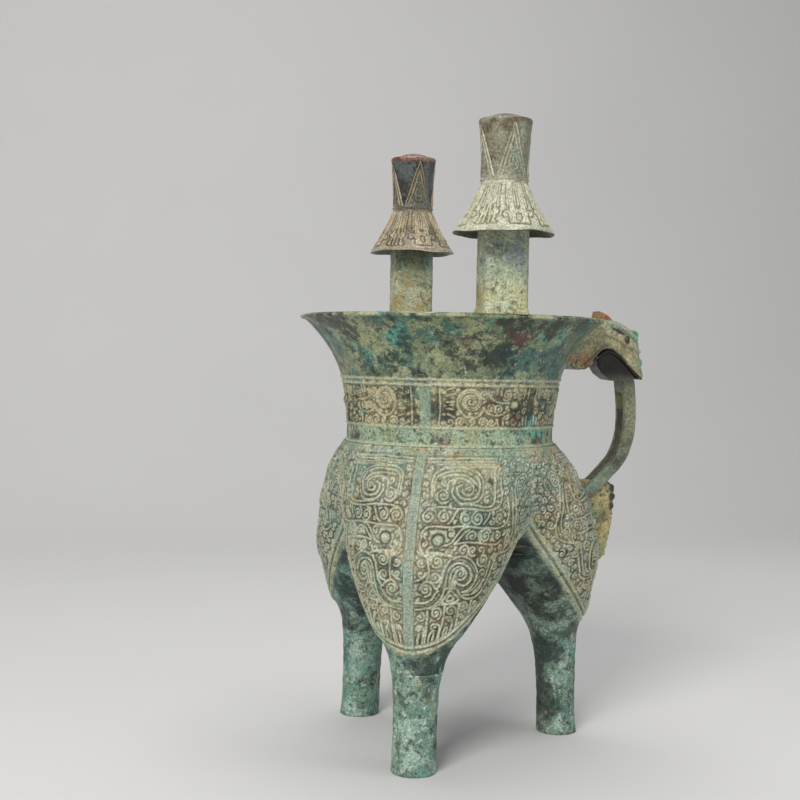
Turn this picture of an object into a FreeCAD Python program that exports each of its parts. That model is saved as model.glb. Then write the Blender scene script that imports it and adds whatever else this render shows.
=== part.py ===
# A bronze jia: a three-legged vessel for warming wine, with a flared mouth, two capped posts on the rim and a
# beast-head handle. Millimetres. +Z is up, the origin is on the vessel's axis at the ground, and +X points
# towards the handle. One leg stands under the handle, the others 120 degrees to each side.
import FreeCAD, Part
import functools
import math
import os

V = FreeCAD.Vector

# Heights above the ground
knee_height = 62.0
shoulder_height = 198.0
band_bottom_height = 210.0
band_top_height = 240.0
rim_height = 280.0
total_height = 400.0

# Neck and mouth
rim_radius = 100.0
neck_wall = 3.6
neck_ledge = 1.0
rim_lip_height = 2.6
band_line_radius = 1.1
band_relief = 1.0
band_rib_width = 7.0
spigot_depth = 8.0
spigot_wall = 3.4
seat_clearance = 0.2

# Pouch legs
shoulder_radius = 69.0
leg_wall = 4.2
valley_radius = 12.0
leg_relief = 1.1
centre_rib_width = 6.0
line_width = 1.3
border_gap = 2.2
eye_boss_radius = 3.4
eye_side_angle = 16.0
eye_height_share = 0.39
form_relief = 0.7

# The raised forms of half a mask, seen from the front: distance from the rib and height above the knee
horn_centre = (26.0, 113.0)
horn_size = (15.5, 10.5)
brow_outline = [(4.5, 92.5), (8.5, 101.0), (30.0, 101.5), (45.0, 99.5), (49.0, 103.0), (47.5, 118.0),
                (51.5, 118.0), (55.0, 104.0), (52.0, 93.0), (44.0, 89.5), (24.0, 90.5), (9.0, 89.5)]
jaw_outline = [(4.0, 46.0), (4.0, 42.0), (12.0, 43.0), (19.0, 47.0), (22.0, 55.0), (23.5, 64.0), (28.0, 69.0),
               (34.0, 69.5), (39.0, 64.0), (38.0, 58.0), (33.0, 56.5), (29.5, 60.5), (32.0, 64.0), (29.0, 65.0),
               (26.5, 60.0), (27.5, 53.5), (33.5, 51.0), (42.0, 55.0), (43.5, 65.0), (37.0, 74.0), (27.0, 73.5),
               (21.0, 66.0), (17.5, 55.0), (13.0, 47.5)]

# Feet
foot_spread = 80.0
foot_radius = 13.75
foot_wall = 4.5
knee_spigot_radius = 8.0
knee_spigot_length = 8.0

# Posts and caps
post_width = 28.5
post_depth = 20.0
post_corner = 4.5
post_flare = 2.6
post_inset = 1.0
post_skirt_depth = 18.0
post_turn = 2.2
cap_edge_radius = 30.6
cap_edge_thickness = 1.6
cap_waist_radius = 13.9
cap_crown_radius = 16.4
cap_crown_height = total_height - 5.0
cap_waist_height = total_height - 33.0
cap_ring_height = total_height - 40.0
cap_ceiling_height = total_height - 53.0
cap_edge_height = total_height - 72.0
cap_ring_radius = 1.0
cap_tenon_radius = 7.0
cap_tenon_length = 13.0

# Handle
strap_width = 17.0
strap_thickness = 9.4
strap_end_thickness = 8.2
strap_reach = 126.8
strap_edge_round = 2.2
strap_foot_height = 164.0
strap_top_height = rim_height - 40.0
channel_width = 9.0
channel_depth = 3.6
core_recess = 0.3
head_width = 24.0
head_edge_round = 4.0
horn_radius = 5.2
horn_length = 9.0
ear_radius = 4.6
ear_thickness = 1.7
nose_boss_radius = 4.2
spur_width = 9.0
spur_bottom_height = 116.7
spur_top_height = 172.0
spur_reach = 13.5
scallop_radius = 3.2
lug_depth = 2.0
lug_width = 8.0

# The rounded outline of a pouch leg, shoulder to knee: how far down, then the half width, the outward reach of
# its round front half's centre and the depth of its flatter back half, as shares of the sizes above
pouch_form = [
    (0.00, 1.000, 0.019, 1.00),
    (0.06, 0.996, 0.112, 1.00),
    (0.13, 0.967, 0.216, 1.00),
    (0.20, 0.909, 0.312, 1.00),
    (0.28, 0.848, 0.427, 1.00),
    (0.36, 0.785, 0.516, 1.00),
    (0.45, 0.711, 0.610, 0.93),
    (0.50, 0.668, 0.659, 0.89),
    (0.57, 0.604, 0.712, 0.85),
    (0.70, 0.450, 0.788, 0.67),
    (0.83, 0.257, 0.890, 0.72),
    (0.88, 0.160, 0.914, 0.76),
    (0.95, 0.075, 0.940, 0.80),
    (1.00, 0.045, 0.960, 0.86),
]
crotch_row = 5
border_tip_share = 0.91

# The column foot, knee to ground, in the same four shares, the first of the knee's height
foot_form = [
    (0.00, 0.000, 0.960, 0.86),
    (0.11, 0.000, 0.972, 0.89),
    (0.29, 0.000, 0.984, 0.92),
    (0.67, 0.000, 0.989, 0.86),
    (0.95, 0.003, 1.003, 0.93),
    (1.00, 0.006, 1.010, 0.95),
]

leg_angles = {"handle": 0.0, "front": -120.0, "back": 120.0}
post_angles = {"front": -90.0 + post_turn, "back": 90.0 + post_turn}


# Shared shape helpers
def turned(shape, angle):
    """The shape turned about the vessel's axis."""
    copy = shape.copy()
    copy.rotate(V(0, 0, 0), V(0, 0, 1), angle)
    return copy


def box(x0, x1, y0, y1, z0, z1):
    return Part.makeBox(x1 - x0, y1 - y0, z1 - z0, V(x0, y0, z0))


def side_plate(edges, width):
    """A plate as thick as width, halved by the handle's plane, from a closed outline in that plane."""
    face = Part.Face(Part.Wire(Part.__sortEdges__(edges)))
    face.translate(V(0, -width / 2, 0))
    return face.extrude(V(0, width, 0))


def curve_through(points, y=0.0):
    """A smooth edge through (x, z) points in the handle's plane."""
    curve = Part.BSplineCurve()
    curve.interpolate([V(x, y, z) for x, z in points])
    return curve.toShape()


def line_between(a, b, y=0.0):
    return Part.makeLine(V(a[0], y, a[1]), V(b[0], y, b[1]))


def revolved(edges):
    """A solid of revolution about the vessel's axis, from a closed outline in the XZ plane, its seam on -X."""
    face = Part.Face(Part.Wire(edges))
    solid = face.revolve(V(0, 0, 0), V(0, 0, 1), 360)
    return turned(solid if solid.Volume > 0 else solid.reversed(), 180)


# Neck and mouth
def neck_radius(z):
    """Outer radius of the neck and mouth: nearly straight at the band, then a flare that grows to the rim."""
    base = shoulder_radius - neck_ledge
    rise = (z - shoulder_height) / (rim_height - shoulder_height)
    return base + (rim_radius - base) * rise ** 3


def neck_point(z, inwards):
    """A point that lies the given distance inside the neck's outer face, measured square to it."""
    step = 0.5
    slope = (neck_radius(z + step) - neck_radius(z - step)) / (2 * step)
    length = math.hypot(1.0, slope)
    return (neck_radius(z) - inwards / length, z + inwards * slope / length)


@functools.lru_cache(None)
def neck_volume(inwards):
    """Everything inside the neck's outer face moved in by that much, from below the shoulder to the rim."""
    top = rim_height + 3 * neck_wall
    span = top - shoulder_height
    profile = [neck_point(shoulder_height + span * k / 9, inwards) for k in range(10)]
    low = (profile[0][0], shoulder_height - 2 * spigot_depth)
    high = (0.0, profile[-1][1])
    foot = (0.0, low[1])
    solid = revolved([
        line_between(low, profile[0]),
        curve_through(profile),
        line_between(profile[-1], high),
        line_between(high, foot),
        line_between(foot, low),
    ])
    reach = 2 * rim_radius
    return solid.common(box(-reach, reach, -reach, reach, low[1], rim_height))


def raised_line(z):
    """A raised line on the neck with sloping sides, as corners of the outline from the bottom up."""
    crest = band_line_radius / 3
    return [
        neck_point(z - band_line_radius, 0.0),
        neck_point(z - crest, -band_line_radius),
        neck_point(z + crest, -band_line_radius),
        neck_point(z + band_line_radius, 0.0),
    ]


@functools.lru_cache(None)
def neck_skin():
    """The neck between the shoulder and the rim as a full solid, with its raised lines and its thick lip."""
    line_heights = (band_bottom_height, band_top_height - 3 * band_line_radius, band_top_height)
    edges = []
    start = (neck_radius(shoulder_height), shoulder_height)
    for z in line_heights:
        corners = raised_line(z)
        low = corners[0]
        between = [start] + [neck_point(start[1] + (low[1] - start[1]) * k / 3, 0.0) for k in (1, 2)] + [low]
        edges.append(curve_through(between))
        edges += [line_between(corners[k], corners[k + 1]) for k in range(3)]
        start = corners[-1]
    lip_low = rim_height - rim_lip_height
    steps = 6
    flare = [neck_point(start[1] + (lip_low - start[1]) * k / steps, 0.0) for k in range(steps + 1)]
    lip_corner = (rim_radius, lip_low)
    rim = (rim_radius, rim_height)
    edges += [
        curve_through([start] + flare[1:]),
        line_between(flare[-1], lip_corner),
        line_between(lip_corner, rim),
        line_between(rim, (0.0, rim_height)),
        line_between((0.0, rim_height), (0.0, shoulder_height)),
        line_between((0.0, shoulder_height), (neck_radius(shoulder_height), shoulder_height)),
    ]
    return revolved(edges)


def neck_and_mouth():
    """The flared mouth, the decorated band between its raised lines, and the ring that drops into the pouches."""
    shell = neck_skin()
    reach = 2 * rim_radius
    raised = neck_volume(-band_relief)
    strip = box(neck_radius(band_bottom_height) - neck_wall / 2, reach, -band_rib_width / 2, band_rib_width / 2,
                band_bottom_height, band_top_height - 3 * band_line_radius)
    ribs = [raised.common(turned(strip, angle)) for angle in leg_angles.values()]
    shell = shell.fuse(ribs).cut(neck_volume(neck_wall))
    spigot_radius = shoulder_radius - leg_wall - seat_clearance
    base = shoulder_height - spigot_depth
    spigot = Part.makeCylinder(spigot_radius, spigot_depth + neck_wall, V(0, 0, base))
    bore = Part.makeCylinder(spigot_radius - spigot_wall, 3 * spigot_depth, V(0, 0, base - spigot_depth))
    return shell.fuse(spigot.cut(bore)).removeSplitter()


# Pouch legs and feet
def blend(rows, share, column):
    """A row value at any share of the way down, on a smooth curve through the rows."""
    last = len(rows) - 1
    k = 0
    while k < last - 1 and rows[k + 1][0] < share:
        k += 1
    low, high = rows[k], rows[k + 1]
    before, after = rows[max(k - 1, 0)], rows[min(k + 2, last)]
    gap = high[0] - low[0]
    t = (share - low[0]) / gap
    enter = (high[column] - before[column]) / (high[0] - before[0]) * gap
    leave = (after[column] - low[column]) / (after[0] - low[0]) * gap
    rest = low[column] * (1 + 2 * t) * (1 - t) ** 2 + high[column] * t * t * (3 - 2 * t)
    return rest + enter * t * (1 - t) ** 2 - leave * t * t * (1 - t)


def leg_station(z):
    """Centre, half width and back depth of a leg's section at a height."""
    if z >= knee_height:
        share = (shoulder_height - z) / (shoulder_height - knee_height)
        rows = pouch_form
    else:
        share = (knee_height - z) / knee_height
        rows = foot_form
    share = min(max(share, 0.0), 1.0)
    width = foot_radius + (shoulder_radius - foot_radius) * blend(rows, share, 1)
    if z < knee_height:
        knee = pouch_form[-1][1] * (shoulder_radius - foot_radius) * (1 - share) ** 6
        width += knee
    return foot_spread * blend(rows, share, 2), width, width * blend(rows, share, 3)


def leg_reach(z):
    """How far out a leg stands at a height."""
    centre, width, _ = leg_station(z)
    return centre + width


def leg_section(z, grow, at=None):
    """One closed outline of a leg: a half circle outwards and a half ellipse towards the vessel's axis."""
    centre, width, back = leg_station(z)
    width += grow
    back += grow
    level = z if at is None else at
    front = Part.Arc(V(centre, -width, level), V(centre + width, 0, level), V(centre, width, level)).toShape()
    if width - back < 0.001:
        rear = Part.Arc(V(centre, width, level), V(centre - back, 0, level), V(centre, -width, level)).toShape()
    else:
        oval = Part.Ellipse(V(centre, width, level), V(centre - back, 0, level), V(centre, 0, level))
        rear = Part.ArcOfEllipse(oval, 0, math.pi).toShape()
    return Part.Wire([front, rear])


def pouch_heights():
    drop = shoulder_height - knee_height
    return [shoulder_height - row[0] * drop for row in pouch_form]


@functools.lru_cache(None)
def pouch_volume(grow):
    """One pouch leg as a full solid, from the shoulder to the knee, swelled or shrunk by grow."""
    return Part.makeLoft([leg_section(z, grow) for z in pouch_heights()], True, False)


def wedge():
    """The third of the space round the axis that belongs to the leg on +X."""
    reach = 4 * rim_radius
    half = reach * math.tan(math.radians(60))
    corners = [V(0, 0, 0), V(reach, half, 0), V(reach, -half, 0), V(0, 0, 0)]
    return Part.Face(Part.makePolygon(corners)).extrude(V(0, 0, total_height))


def on_seam(edge):
    """True for an edge where two pouches meet, which lies halfway between two legs."""
    middle = edge.valueAt((edge.FirstParameter + edge.LastParameter) / 2)
    angle = math.degrees(math.atan2(middle.y, middle.x)) % 120
    return abs(angle - 60) < 0.5 and edge.BoundBox.ZLength > leg_wall


def three_pouches(grow):
    """The whole three-lobed body as a full solid, with its valleys and the crotch rounded."""
    one = pouch_volume(grow)
    body = one.fuse([turned(one, 120), turned(one, 240)]).removeSplitter()
    seams = [edge for edge in body.Edges if on_seam(edge)]
    return body.makeFillet(valley_radius, seams)


def pouch_hollow():
    """The space inside one pouch, open at the shoulder, down to a floor above the knee's socket."""
    floor = knee_height + knee_spigot_length + 2 * leg_wall
    heights = [z for z in pouch_heights() if z > floor + leg_wall]
    above = leg_section(shoulder_height, -leg_wall, shoulder_height + leg_wall)
    sections = [above] + [leg_section(z, -leg_wall) for z in heights] + [leg_section(floor, -1.6 * leg_wall)]
    return Part.makeLoft(sections, True, False)


def border_heights():
    drop = shoulder_height - knee_height
    return shoulder_height - pouch_form[crotch_row][0] * drop, shoulder_height - border_tip_share * drop


def border_slab(offset, width):
    """A thin slope-following slab between the crotch and the leg's front tip, where a border line runs."""
    high, low = border_heights()
    crotch_centre, crotch_width, _ = leg_station(high)
    span = math.sqrt(max(4 * crotch_width ** 2 - 3 * crotch_centre ** 2, 0.0))
    x_high = (crotch_centre + span) / 4
    centre, half, _ = leg_station(low)
    x_low = centre + half
    along = V(x_low - x_high, 0, low - high).normalize()
    out = V(-along.z, 0, along.x)
    start = V(x_high, 0, high) - along * rim_radius + out * offset
    reach = 3 * rim_radius
    slab = Part.makeBox(reach, 2 * reach, width)
    slab.Placement = FreeCAD.Placement(start + V(0, -reach, 0), FreeCAD.Rotation(along, V(0, 1, 0), out, "XYZ"))
    return slab


def rib_edge(side):
    """One raised edge of the flat rib that runs down the middle of a pouch."""
    low = border_heights()[1]
    high = shoulder_height - leg_wall
    steps = 8
    heights = [low + (high - low) * k / steps for k in range(steps + 1)]
    crest = [(leg_reach(z) + leg_relief, z) for z in heights]
    buried = [(leg_reach(z) - leg_relief, z) for z in heights]
    edges = [
        curve_through(crest),
        line_between(crest[-1], buried[-1]),
        curve_through(buried),
        line_between(buried[0], crest[0]),
    ]
    edge = side_plate(edges, line_width)
    edge.translate(V(0, side * centre_rib_width / 2, 0))
    return edge


def pouch_relief():
    """The rib's two raised edges and the double border line between the mask and the plain inner face."""
    high, low = border_heights()
    reach = 2 * rim_radius
    pieces = [rib_edge(-1), rib_edge(1)]
    near = box(0, reach, -reach, reach, low - leg_wall, high)
    for offset in (0.0, line_width + border_gap):
        slab = border_slab(offset, line_width).common(near)
        pieces.append(slab.common(pouch_volume(leg_relief)).cut(pouch_volume(-leg_relief)).common(wedge()))
    return pieces


def eye_bosses():
    """The two round eyes of the mask, one on each side of the centre rib."""
    high = shoulder_height - eye_height_share * (shoulder_height - knee_height)
    centre, width, _ = leg_station(high)
    bosses = []
    for side in (-1, 1):
        angle = math.radians(eye_side_angle * side)
        place = V(centre + width * math.cos(angle), width * math.sin(angle), high)
        bosses.append(Part.makeSphere(eye_boss_radius, place))
    return bosses


def mask_forms():
    """The raised horns, brows and jaws of the mask, as plates that follow the pouch's face."""
    reach = 2 * rim_radius
    layer = pouch_volume(form_relief).cut(pouch_volume(-form_relief))
    wide, tall = horn_size
    start = foot_spread / 2
    middle = V(start, horn_centre[0], knee_height + horn_centre[1])
    oval = Part.Ellipse(middle + V(0, wide, 0), middle + V(0, 0, tall), middle)
    outlines = [Part.Wire(oval.toShape())]
    for corners in (brow_outline, jaw_outline):
        points = [V(start, y, knee_height + z) for y, z in corners]
        outlines.append(Part.makePolygon(points + points[:1]))
    forms = []
    for outline in outlines:
        plate = Part.Face(outline).extrude(V(reach, 0, 0)).common(layer)
        forms += [plate, plate.mirror(V(0, 0, 0), V(0, 1, 0))]
    return forms


def knee_centre():
    centre, width, back = leg_station(knee_height)
    return centre + (width - back) / 2


def pouch_leg(body, third):
    """One hollow pouch with the socket for its foot, for the leg on +X."""
    leg = body.common(third).cut(pouch_hollow())
    leg = leg.fuse(pouch_relief() + mask_forms() + eye_bosses())
    socket_radius = knee_spigot_radius + seat_clearance
    socket = Part.makeCylinder(
        socket_radius, knee_spigot_length + seat_clearance, V(knee_centre(), 0, knee_height))
    return leg.cut(socket).removeSplitter()


def foot_heights():
    return [knee_height * (1 - row[0]) for row in foot_form]


def foot_core_shape(clearance):
    bottom = foot_wall
    top = knee_height - foot_wall
    radius = foot_radius - foot_wall - clearance
    centre = foot_spread * foot_form[2][2]
    return Part.makeCylinder(radius, top - bottom - 2 * clearance, V(centre, 0, bottom + clearance))


def foot():
    """A column foot, cast round a clay core, with the spigot that enters the pouch's socket."""
    column = Part.makeLoft([leg_section(z, 0.0) for z in foot_heights()], True, False)
    spigot = Part.makeCylinder(
        knee_spigot_radius, knee_spigot_length + foot_wall, V(knee_centre(), 0, knee_height - foot_wall))
    return column.fuse(spigot).cut(foot_core_shape(0.0)).removeSplitter()


# Posts and caps
def post_section(grow, z):
    """A rounded rectangle, deeper towards the vessel's axis as it grows, so its outer face stays in line."""
    outer = rim_radius - post_inset
    inner = outer - post_depth - grow
    half = post_width / 2 + grow
    face = Part.makePlane(outer - inner, 2 * half, V(inner, -half, z))
    solid = face.extrude(V(0, 0, 1.0))
    upright = [e for e in solid.Edges if abs(e.BoundBox.ZLength - 1.0) < 1e-6]
    rounded = solid.makeFillet(post_corner, upright)
    for f in rounded.Faces:
        if abs(f.BoundBox.ZLength) < 1e-6 and abs(f.BoundBox.ZMin - z) < 1e-6:
            return f.OuterWire
    return None


def post_centre():
    return rim_radius - post_inset - post_depth / 2


def post_lug():
    """The tongue of a post that is let into the inner face of the mouth."""
    low = rim_height - post_skirt_depth + lug_depth
    blank = box(0, rim_radius, -post_width / 4, post_width / 4, low, rim_height - 2 * lug_depth)
    layer = neck_volume(neck_wall - lug_depth).cut(neck_volume(neck_wall))
    return blank.common(layer)


def post():
    """A post that sits on the rim and down inside the mouth, with a tenon for its cap, for +X."""
    low = rim_height - post_skirt_depth
    foot_end = rim_height + 1.6 * post_flare
    sections = [
        post_section(2.0 * post_flare, low),
        post_section(1.3 * post_flare, rim_height - post_flare),
        post_section(0.35 * post_flare, rim_height + 0.6 * post_flare),
        post_section(0.0, foot_end),
    ]
    flared = Part.makeLoft(sections, True, False)
    shaft = Part.Face(post_section(0.0, foot_end)).extrude(V(0, 0, cap_ceiling_height - foot_end))
    blank = flared.fuse(shaft)
    reach = 2 * rim_radius
    keep = neck_volume(neck_wall).fuse(box(-reach, reach, -reach, reach, rim_height, total_height))
    tenon = Part.makeCylinder(cap_tenon_radius, cap_tenon_length, V(post_centre(), 0, cap_ceiling_height))
    return blank.common(keep).fuse([tenon, post_lug()]).removeSplitter()


def post_cap():
    """The tall waisted cap: a solid crown over a thin flaring skirt, for the post on +X."""
    ring_low = cap_ring_height - cap_ring_radius
    ring_high = cap_ring_height + cap_ring_radius
    drop = ring_low - cap_edge_height
    spread = cap_edge_radius - cap_waist_radius
    skirt = [(cap_waist_radius + spread * t ** 1.25, ring_low - drop * t) for t in (0.0, 0.25, 0.5, 0.75, 1.0)]
    waist = [
        (cap_crown_radius, cap_crown_height),
        ((cap_crown_radius + 3 * cap_waist_radius) / 4, (cap_crown_height + cap_waist_height) / 2),
        (cap_waist_radius, cap_waist_height),
        (cap_waist_radius, ring_high),
    ]
    ring = [
        (cap_waist_radius, ring_high),
        (cap_waist_radius + cap_ring_radius, cap_ring_height + cap_ring_radius / 3),
        (cap_waist_radius + cap_ring_radius, cap_ring_height - cap_ring_radius / 3),
        (cap_waist_radius, ring_low),
    ]
    crown_rise = total_height - cap_crown_height
    dome = [(0.0, total_height), (cap_crown_radius * 0.75, total_height - crown_rise * 0.4), waist[0]]
    lip = (cap_edge_radius - cap_edge_thickness, cap_edge_height)
    ceiling = (post_width / 2 + 2 * leg_relief, cap_ceiling_height)
    hollow_mid = ((lip[0] + ceiling[0]) / 2 - 1.0, (lip[1] + ceiling[1]) / 2)
    edges = [
        curve_through(dome),
        curve_through(waist),
        line_between(ring[0], ring[1]),
        line_between(ring[1], ring[2]),
        line_between(ring[2], ring[3]),
        curve_through(skirt),
        line_between(skirt[-1], lip),
        curve_through([lip, hollow_mid, ceiling]),
        line_between(ceiling, (0.0, cap_ceiling_height)),
        line_between((0.0, cap_ceiling_height), dome[0]),
    ]
    cap = revolved(edges)
    socket = Part.makeCylinder(
        cap_tenon_radius + seat_clearance, cap_tenon_length + seat_clearance, V(0, 0, cap_ceiling_height))
    cap = cap.cut(socket)
    cap.translate(V(post_centre(), 0, 0))
    return cap.removeSplitter()


# Handle
def strap_side(offset):
    """The strap's middle line moved sideways: plus is away from the vessel."""
    foot_x = leg_reach(strap_foot_height)
    rise = strap_top_height - strap_foot_height
    lean = strap_reach - foot_x
    middle = [
        (foot_x - leg_wall / 2, strap_foot_height - 5.0),
        (foot_x + 0.27 * lean, strap_foot_height + 0.05 * rise),
        (foot_x + 0.57 * lean, strap_foot_height + 0.18 * rise),
        (foot_x + 0.83 * lean, strap_foot_height + 0.32 * rise),
        (foot_x + 0.98 * lean, strap_foot_height + 0.52 * rise),
        (foot_x + lean, strap_foot_height + 0.74 * rise),
        (foot_x + 0.95 * lean, strap_top_height),
    ]
    side = []
    last = len(middle) - 1
    for k, (x, z) in enumerate(middle):
        ahead = middle[min(k + 1, last)]
        behind = middle[max(k - 1, 0)]
        dx, dz = ahead[0] - behind[0], ahead[1] - behind[1]
        length = math.hypot(dx, dz)
        thick = strap_end_thickness + (strap_thickness - strap_end_thickness) * k / last
        shift = offset * thick
        side.append((x + shift * dz / length, z - shift * dx / length))
    return side


def head_point(out, up):
    """A point of the beast head, measured from the rim's edge."""
    return (rim_radius + out, rim_height + up)


def strap_blank(clearance):
    """The strap with the broad tongue that fills the beast's mouth."""
    inner = strap_side(-0.5)
    outer = strap_side(0.5)
    tongue = [
        outer[-1],
        head_point(30.0, -33.0),
        head_point(25.0, -27.0),
        head_point(17.0, -19.0),
        head_point(10.0, -15.0),
        head_point(5.5, -16.0),
        head_point(3.0, -20.0),
        head_point(1.5, -26.0),
        head_point(2.0, -31.0),
        head_point(5.0, -35.5),
        head_point(11.0, -39.5),
        inner[-1],
    ]
    edges = [curve_through(inner), line_between(inner[0], outer[0]), curve_through(outer)]
    edges += [line_between(tongue[k], tongue[k + 1]) for k in range(len(tongue) - 1)]
    return side_plate(edges, strap_width + 2 * clearance)


def channel_shape(recess, clearance):
    """The slot along the strap's inner side, or the casting clay in it, set back from the strap's face."""
    inner = strap_side(-0.5 + recess / strap_thickness)[1:-1]
    deep = strap_side(-0.5 + (channel_depth - clearance) / strap_thickness)[1:-1]
    edges = [
        curve_through(inner),
        line_between(inner[-1], deep[-1]),
        curve_through(deep),
        line_between(deep[0], inner[0]),
    ]
    return side_plate(edges, channel_width - 2 * clearance)


def leg_lug(low, high):
    """A tongue let into the outer face of the leg under the handle."""
    blank = box(leg_station(low)[0], leg_reach(low) + rim_radius, -lug_width / 2, lug_width / 2, low, high)
    return blank.common(pouch_volume(0.0).cut(pouch_volume(-lug_depth)))


def handle_strap():
    blank = strap_blank(0.0)
    long_edges = [e for e in blank.Edges if e.Length > strap_reach / 2 and e.BoundBox.YLength < 0.01]
    blank = blank.makeFillet(strap_edge_round, long_edges)
    blank = blank.cut(channel_shape(-core_recess, 0.0)).cut(pouch_volume(0.0))
    lug = leg_lug(strap_foot_height - strap_end_thickness / 3, strap_foot_height + strap_end_thickness / 3)
    return blank.fuse(lug).removeSplitter(), lug


def head_blank():
    """The beast head's outline: a crown and a snout over an arched upper lip, with its back deep in the flare."""
    crown = [
        head_point(-8.0, 1.0),
        head_point(0.0, 1.4),
        head_point(8.0, 1.6),
        head_point(15.0, 0.0),
        head_point(22.0, -3.2),
        head_point(29.0, -8.0),
        head_point(31.4, -16.0),
        head_point(32.4, -25.0),
        head_point(34.6, -33.0),
    ]
    lip = [
        head_point(33.2, -39.6),
        head_point(26.0, -32.4),
        head_point(18.5, -24.2),
        head_point(10.5, -18.6),
        head_point(3.8, -18.8),
        head_point(-2.2, -23.8),
        head_point(-7.8, -31.0),
        head_point(-14.9, -33.2),
        head_point(-19.0, -30.0),
    ]
    back = head_point(-26.0, -28.0)
    edges = [
        curve_through(crown),
        line_between(crown[-1], lip[0]),
        curve_through(lip),
        line_between(lip[-1], back),
        line_between(back, crown[0]),
    ]
    blank = side_plate(edges, head_width)
    cheeks = [e for e in blank.Edges if e.BoundBox.YLength < 0.01 and e.BoundBox.ZMax > rim_height + 1.0]
    rounded = [e for e in cheeks if e.BoundBox.XMax > strap_reach]
    return blank.makeFillet(head_edge_round, rounded)


def handle_head():
    """The beast head that hangs on the flare under the rim and closes its mouth over the strap."""
    reach = 2 * rim_radius
    over_rim = box(-reach, rim_radius, -reach, reach, rim_height, total_height)
    blank = head_blank().cut(over_rim).cut(strap_blank(seat_clearance))
    parts = []
    for side in (-1, 1):
        x, z = head_point(6.0, 7.2 - horn_length)
        horn = Part.makeCone(horn_radius, horn_radius / 3, horn_length, V(x, side * head_width / 3, z))
        x, z = head_point(7.5, -6.5)
        ear_start = V(x, side * head_width / 2, z)
        ear = Part.makeCylinder(ear_radius + ear_thickness, ear_thickness, ear_start, V(0, side, 0))
        ear = ear.cut(Part.makeCylinder(ear_radius - ear_thickness, ear_thickness, ear_start, V(0, side, 0)))
        x, z = head_point(28.0, -10.0)
        nose = Part.makeSphere(nose_boss_radius, V(x, side * head_width / 4, z))
        parts += [horn, ear, nose]
    low = rim_height - 3 * lug_width
    lug_blank = box(0, reach, -lug_width / 2, lug_width / 2, low, low + 1.5 * lug_width)
    lug = lug_blank.common(neck_skin().cut(neck_volume(lug_depth)))
    head = blank.fuse(parts).cut(neck_skin()).fuse(lug)
    return head.removeSplitter(), lug


def handle_spur():
    """The scalloped plate that fills the corner between the strap and the pouch."""
    top = spur_top_height
    low = spur_bottom_height
    rise = top - low
    tip = leg_reach(low)
    edge_line = [
        (tip + 0.25 * spur_reach, low),
        (tip + 0.55 * spur_reach, low + 0.06 * rise),
        (tip + 0.70 * spur_reach, low + 0.20 * rise),
        (tip + 0.82 * spur_reach, low + 0.40 * rise),
        (tip + spur_reach, low + 0.60 * rise),
        (tip + 1.08 * spur_reach, low + 0.78 * rise),
        (tip + spur_reach, top),
    ]
    inner_low = (tip - 2 * leg_wall, low)
    inner_top = (leg_reach(top) - 2 * leg_wall, top)
    edges = [
        curve_through(edge_line),
        line_between(edge_line[-1], inner_top),
        line_between(inner_top, inner_low),
        line_between(inner_low, edge_line[0]),
    ]
    blank = side_plate(edges, spur_width)
    scallops = []
    for share in (0.60, 0.74, 0.88):
        centre = V(tip + spur_reach, -spur_width / 2, low + share * rise)
        scallops.append(Part.makeCylinder(scallop_radius, spur_width, centre, V(0, 1, 0)))
    lug_low = low + 0.4 * rise
    lug = leg_lug(lug_low, lug_low + lug_width)
    plate = blank.fuse(scallops).cut(strap_blank(0.0)).cut(pouch_volume(0.0)).cut([rib_edge(-1), rib_edge(1)])
    plate = max(plate.Solids, key=lambda solid: solid.Volume)
    return plate.fuse(lug).removeSplitter(), lug


# Assembly
def build():
    parts = {}
    body = three_pouches(0.0)
    third = wedge()
    leg = pouch_leg(body, third)
    one_foot = foot()
    one_core = foot_core_shape(seat_clearance)
    strap, strap_lug = handle_strap()
    head, head_lug = handle_head()
    spur, spur_lug = handle_spur()
    neck = neck_and_mouth().cut(head_lug)
    for name, angle in post_angles.items():
        neck = neck.cut(turned(post_lug(), angle))
        parts["post_" + name] = turned(post(), angle)
        parts["post_cap_" + name] = turned(post_cap(), angle)
    parts["neck_and_mouth"] = neck
    for name, angle in leg_angles.items():
        own = leg.cut(strap_lug).cut(spur_lug) if name == "handle" else leg
        parts["pouch_leg_" + name] = turned(own, angle)
        parts["foot_" + name] = turned(one_foot, angle)
        parts["foot_core_" + name] = turned(one_core, angle)
    parts["handle_strap"] = strap
    parts["handle_core"] = channel_shape(core_recess, seat_clearance / 2)
    parts["handle_head"] = head
    parts["handle_spur"] = spur
    return parts


os.makedirs("parts", exist_ok=True)
for node, shape in build().items():
    print(node, len(shape.Solids), "solid", "sound" if shape.isValid() else "faulty")
    shape.exportStep("parts/" + node + ".step")
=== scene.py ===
# A bronze jia, dressed for its photograph: a three-legged wine vessel with green patina and cast masks.
# Metres, +Z up, the vessel's axis on Z, the handle towards +X. Shapes are worked out in millimetres.
from math import atan, atan2, cos, exp, hypot, pi, radians, sin

import bmesh
import bpy
import numpy as np
from mathutils import Matrix, Vector


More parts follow.
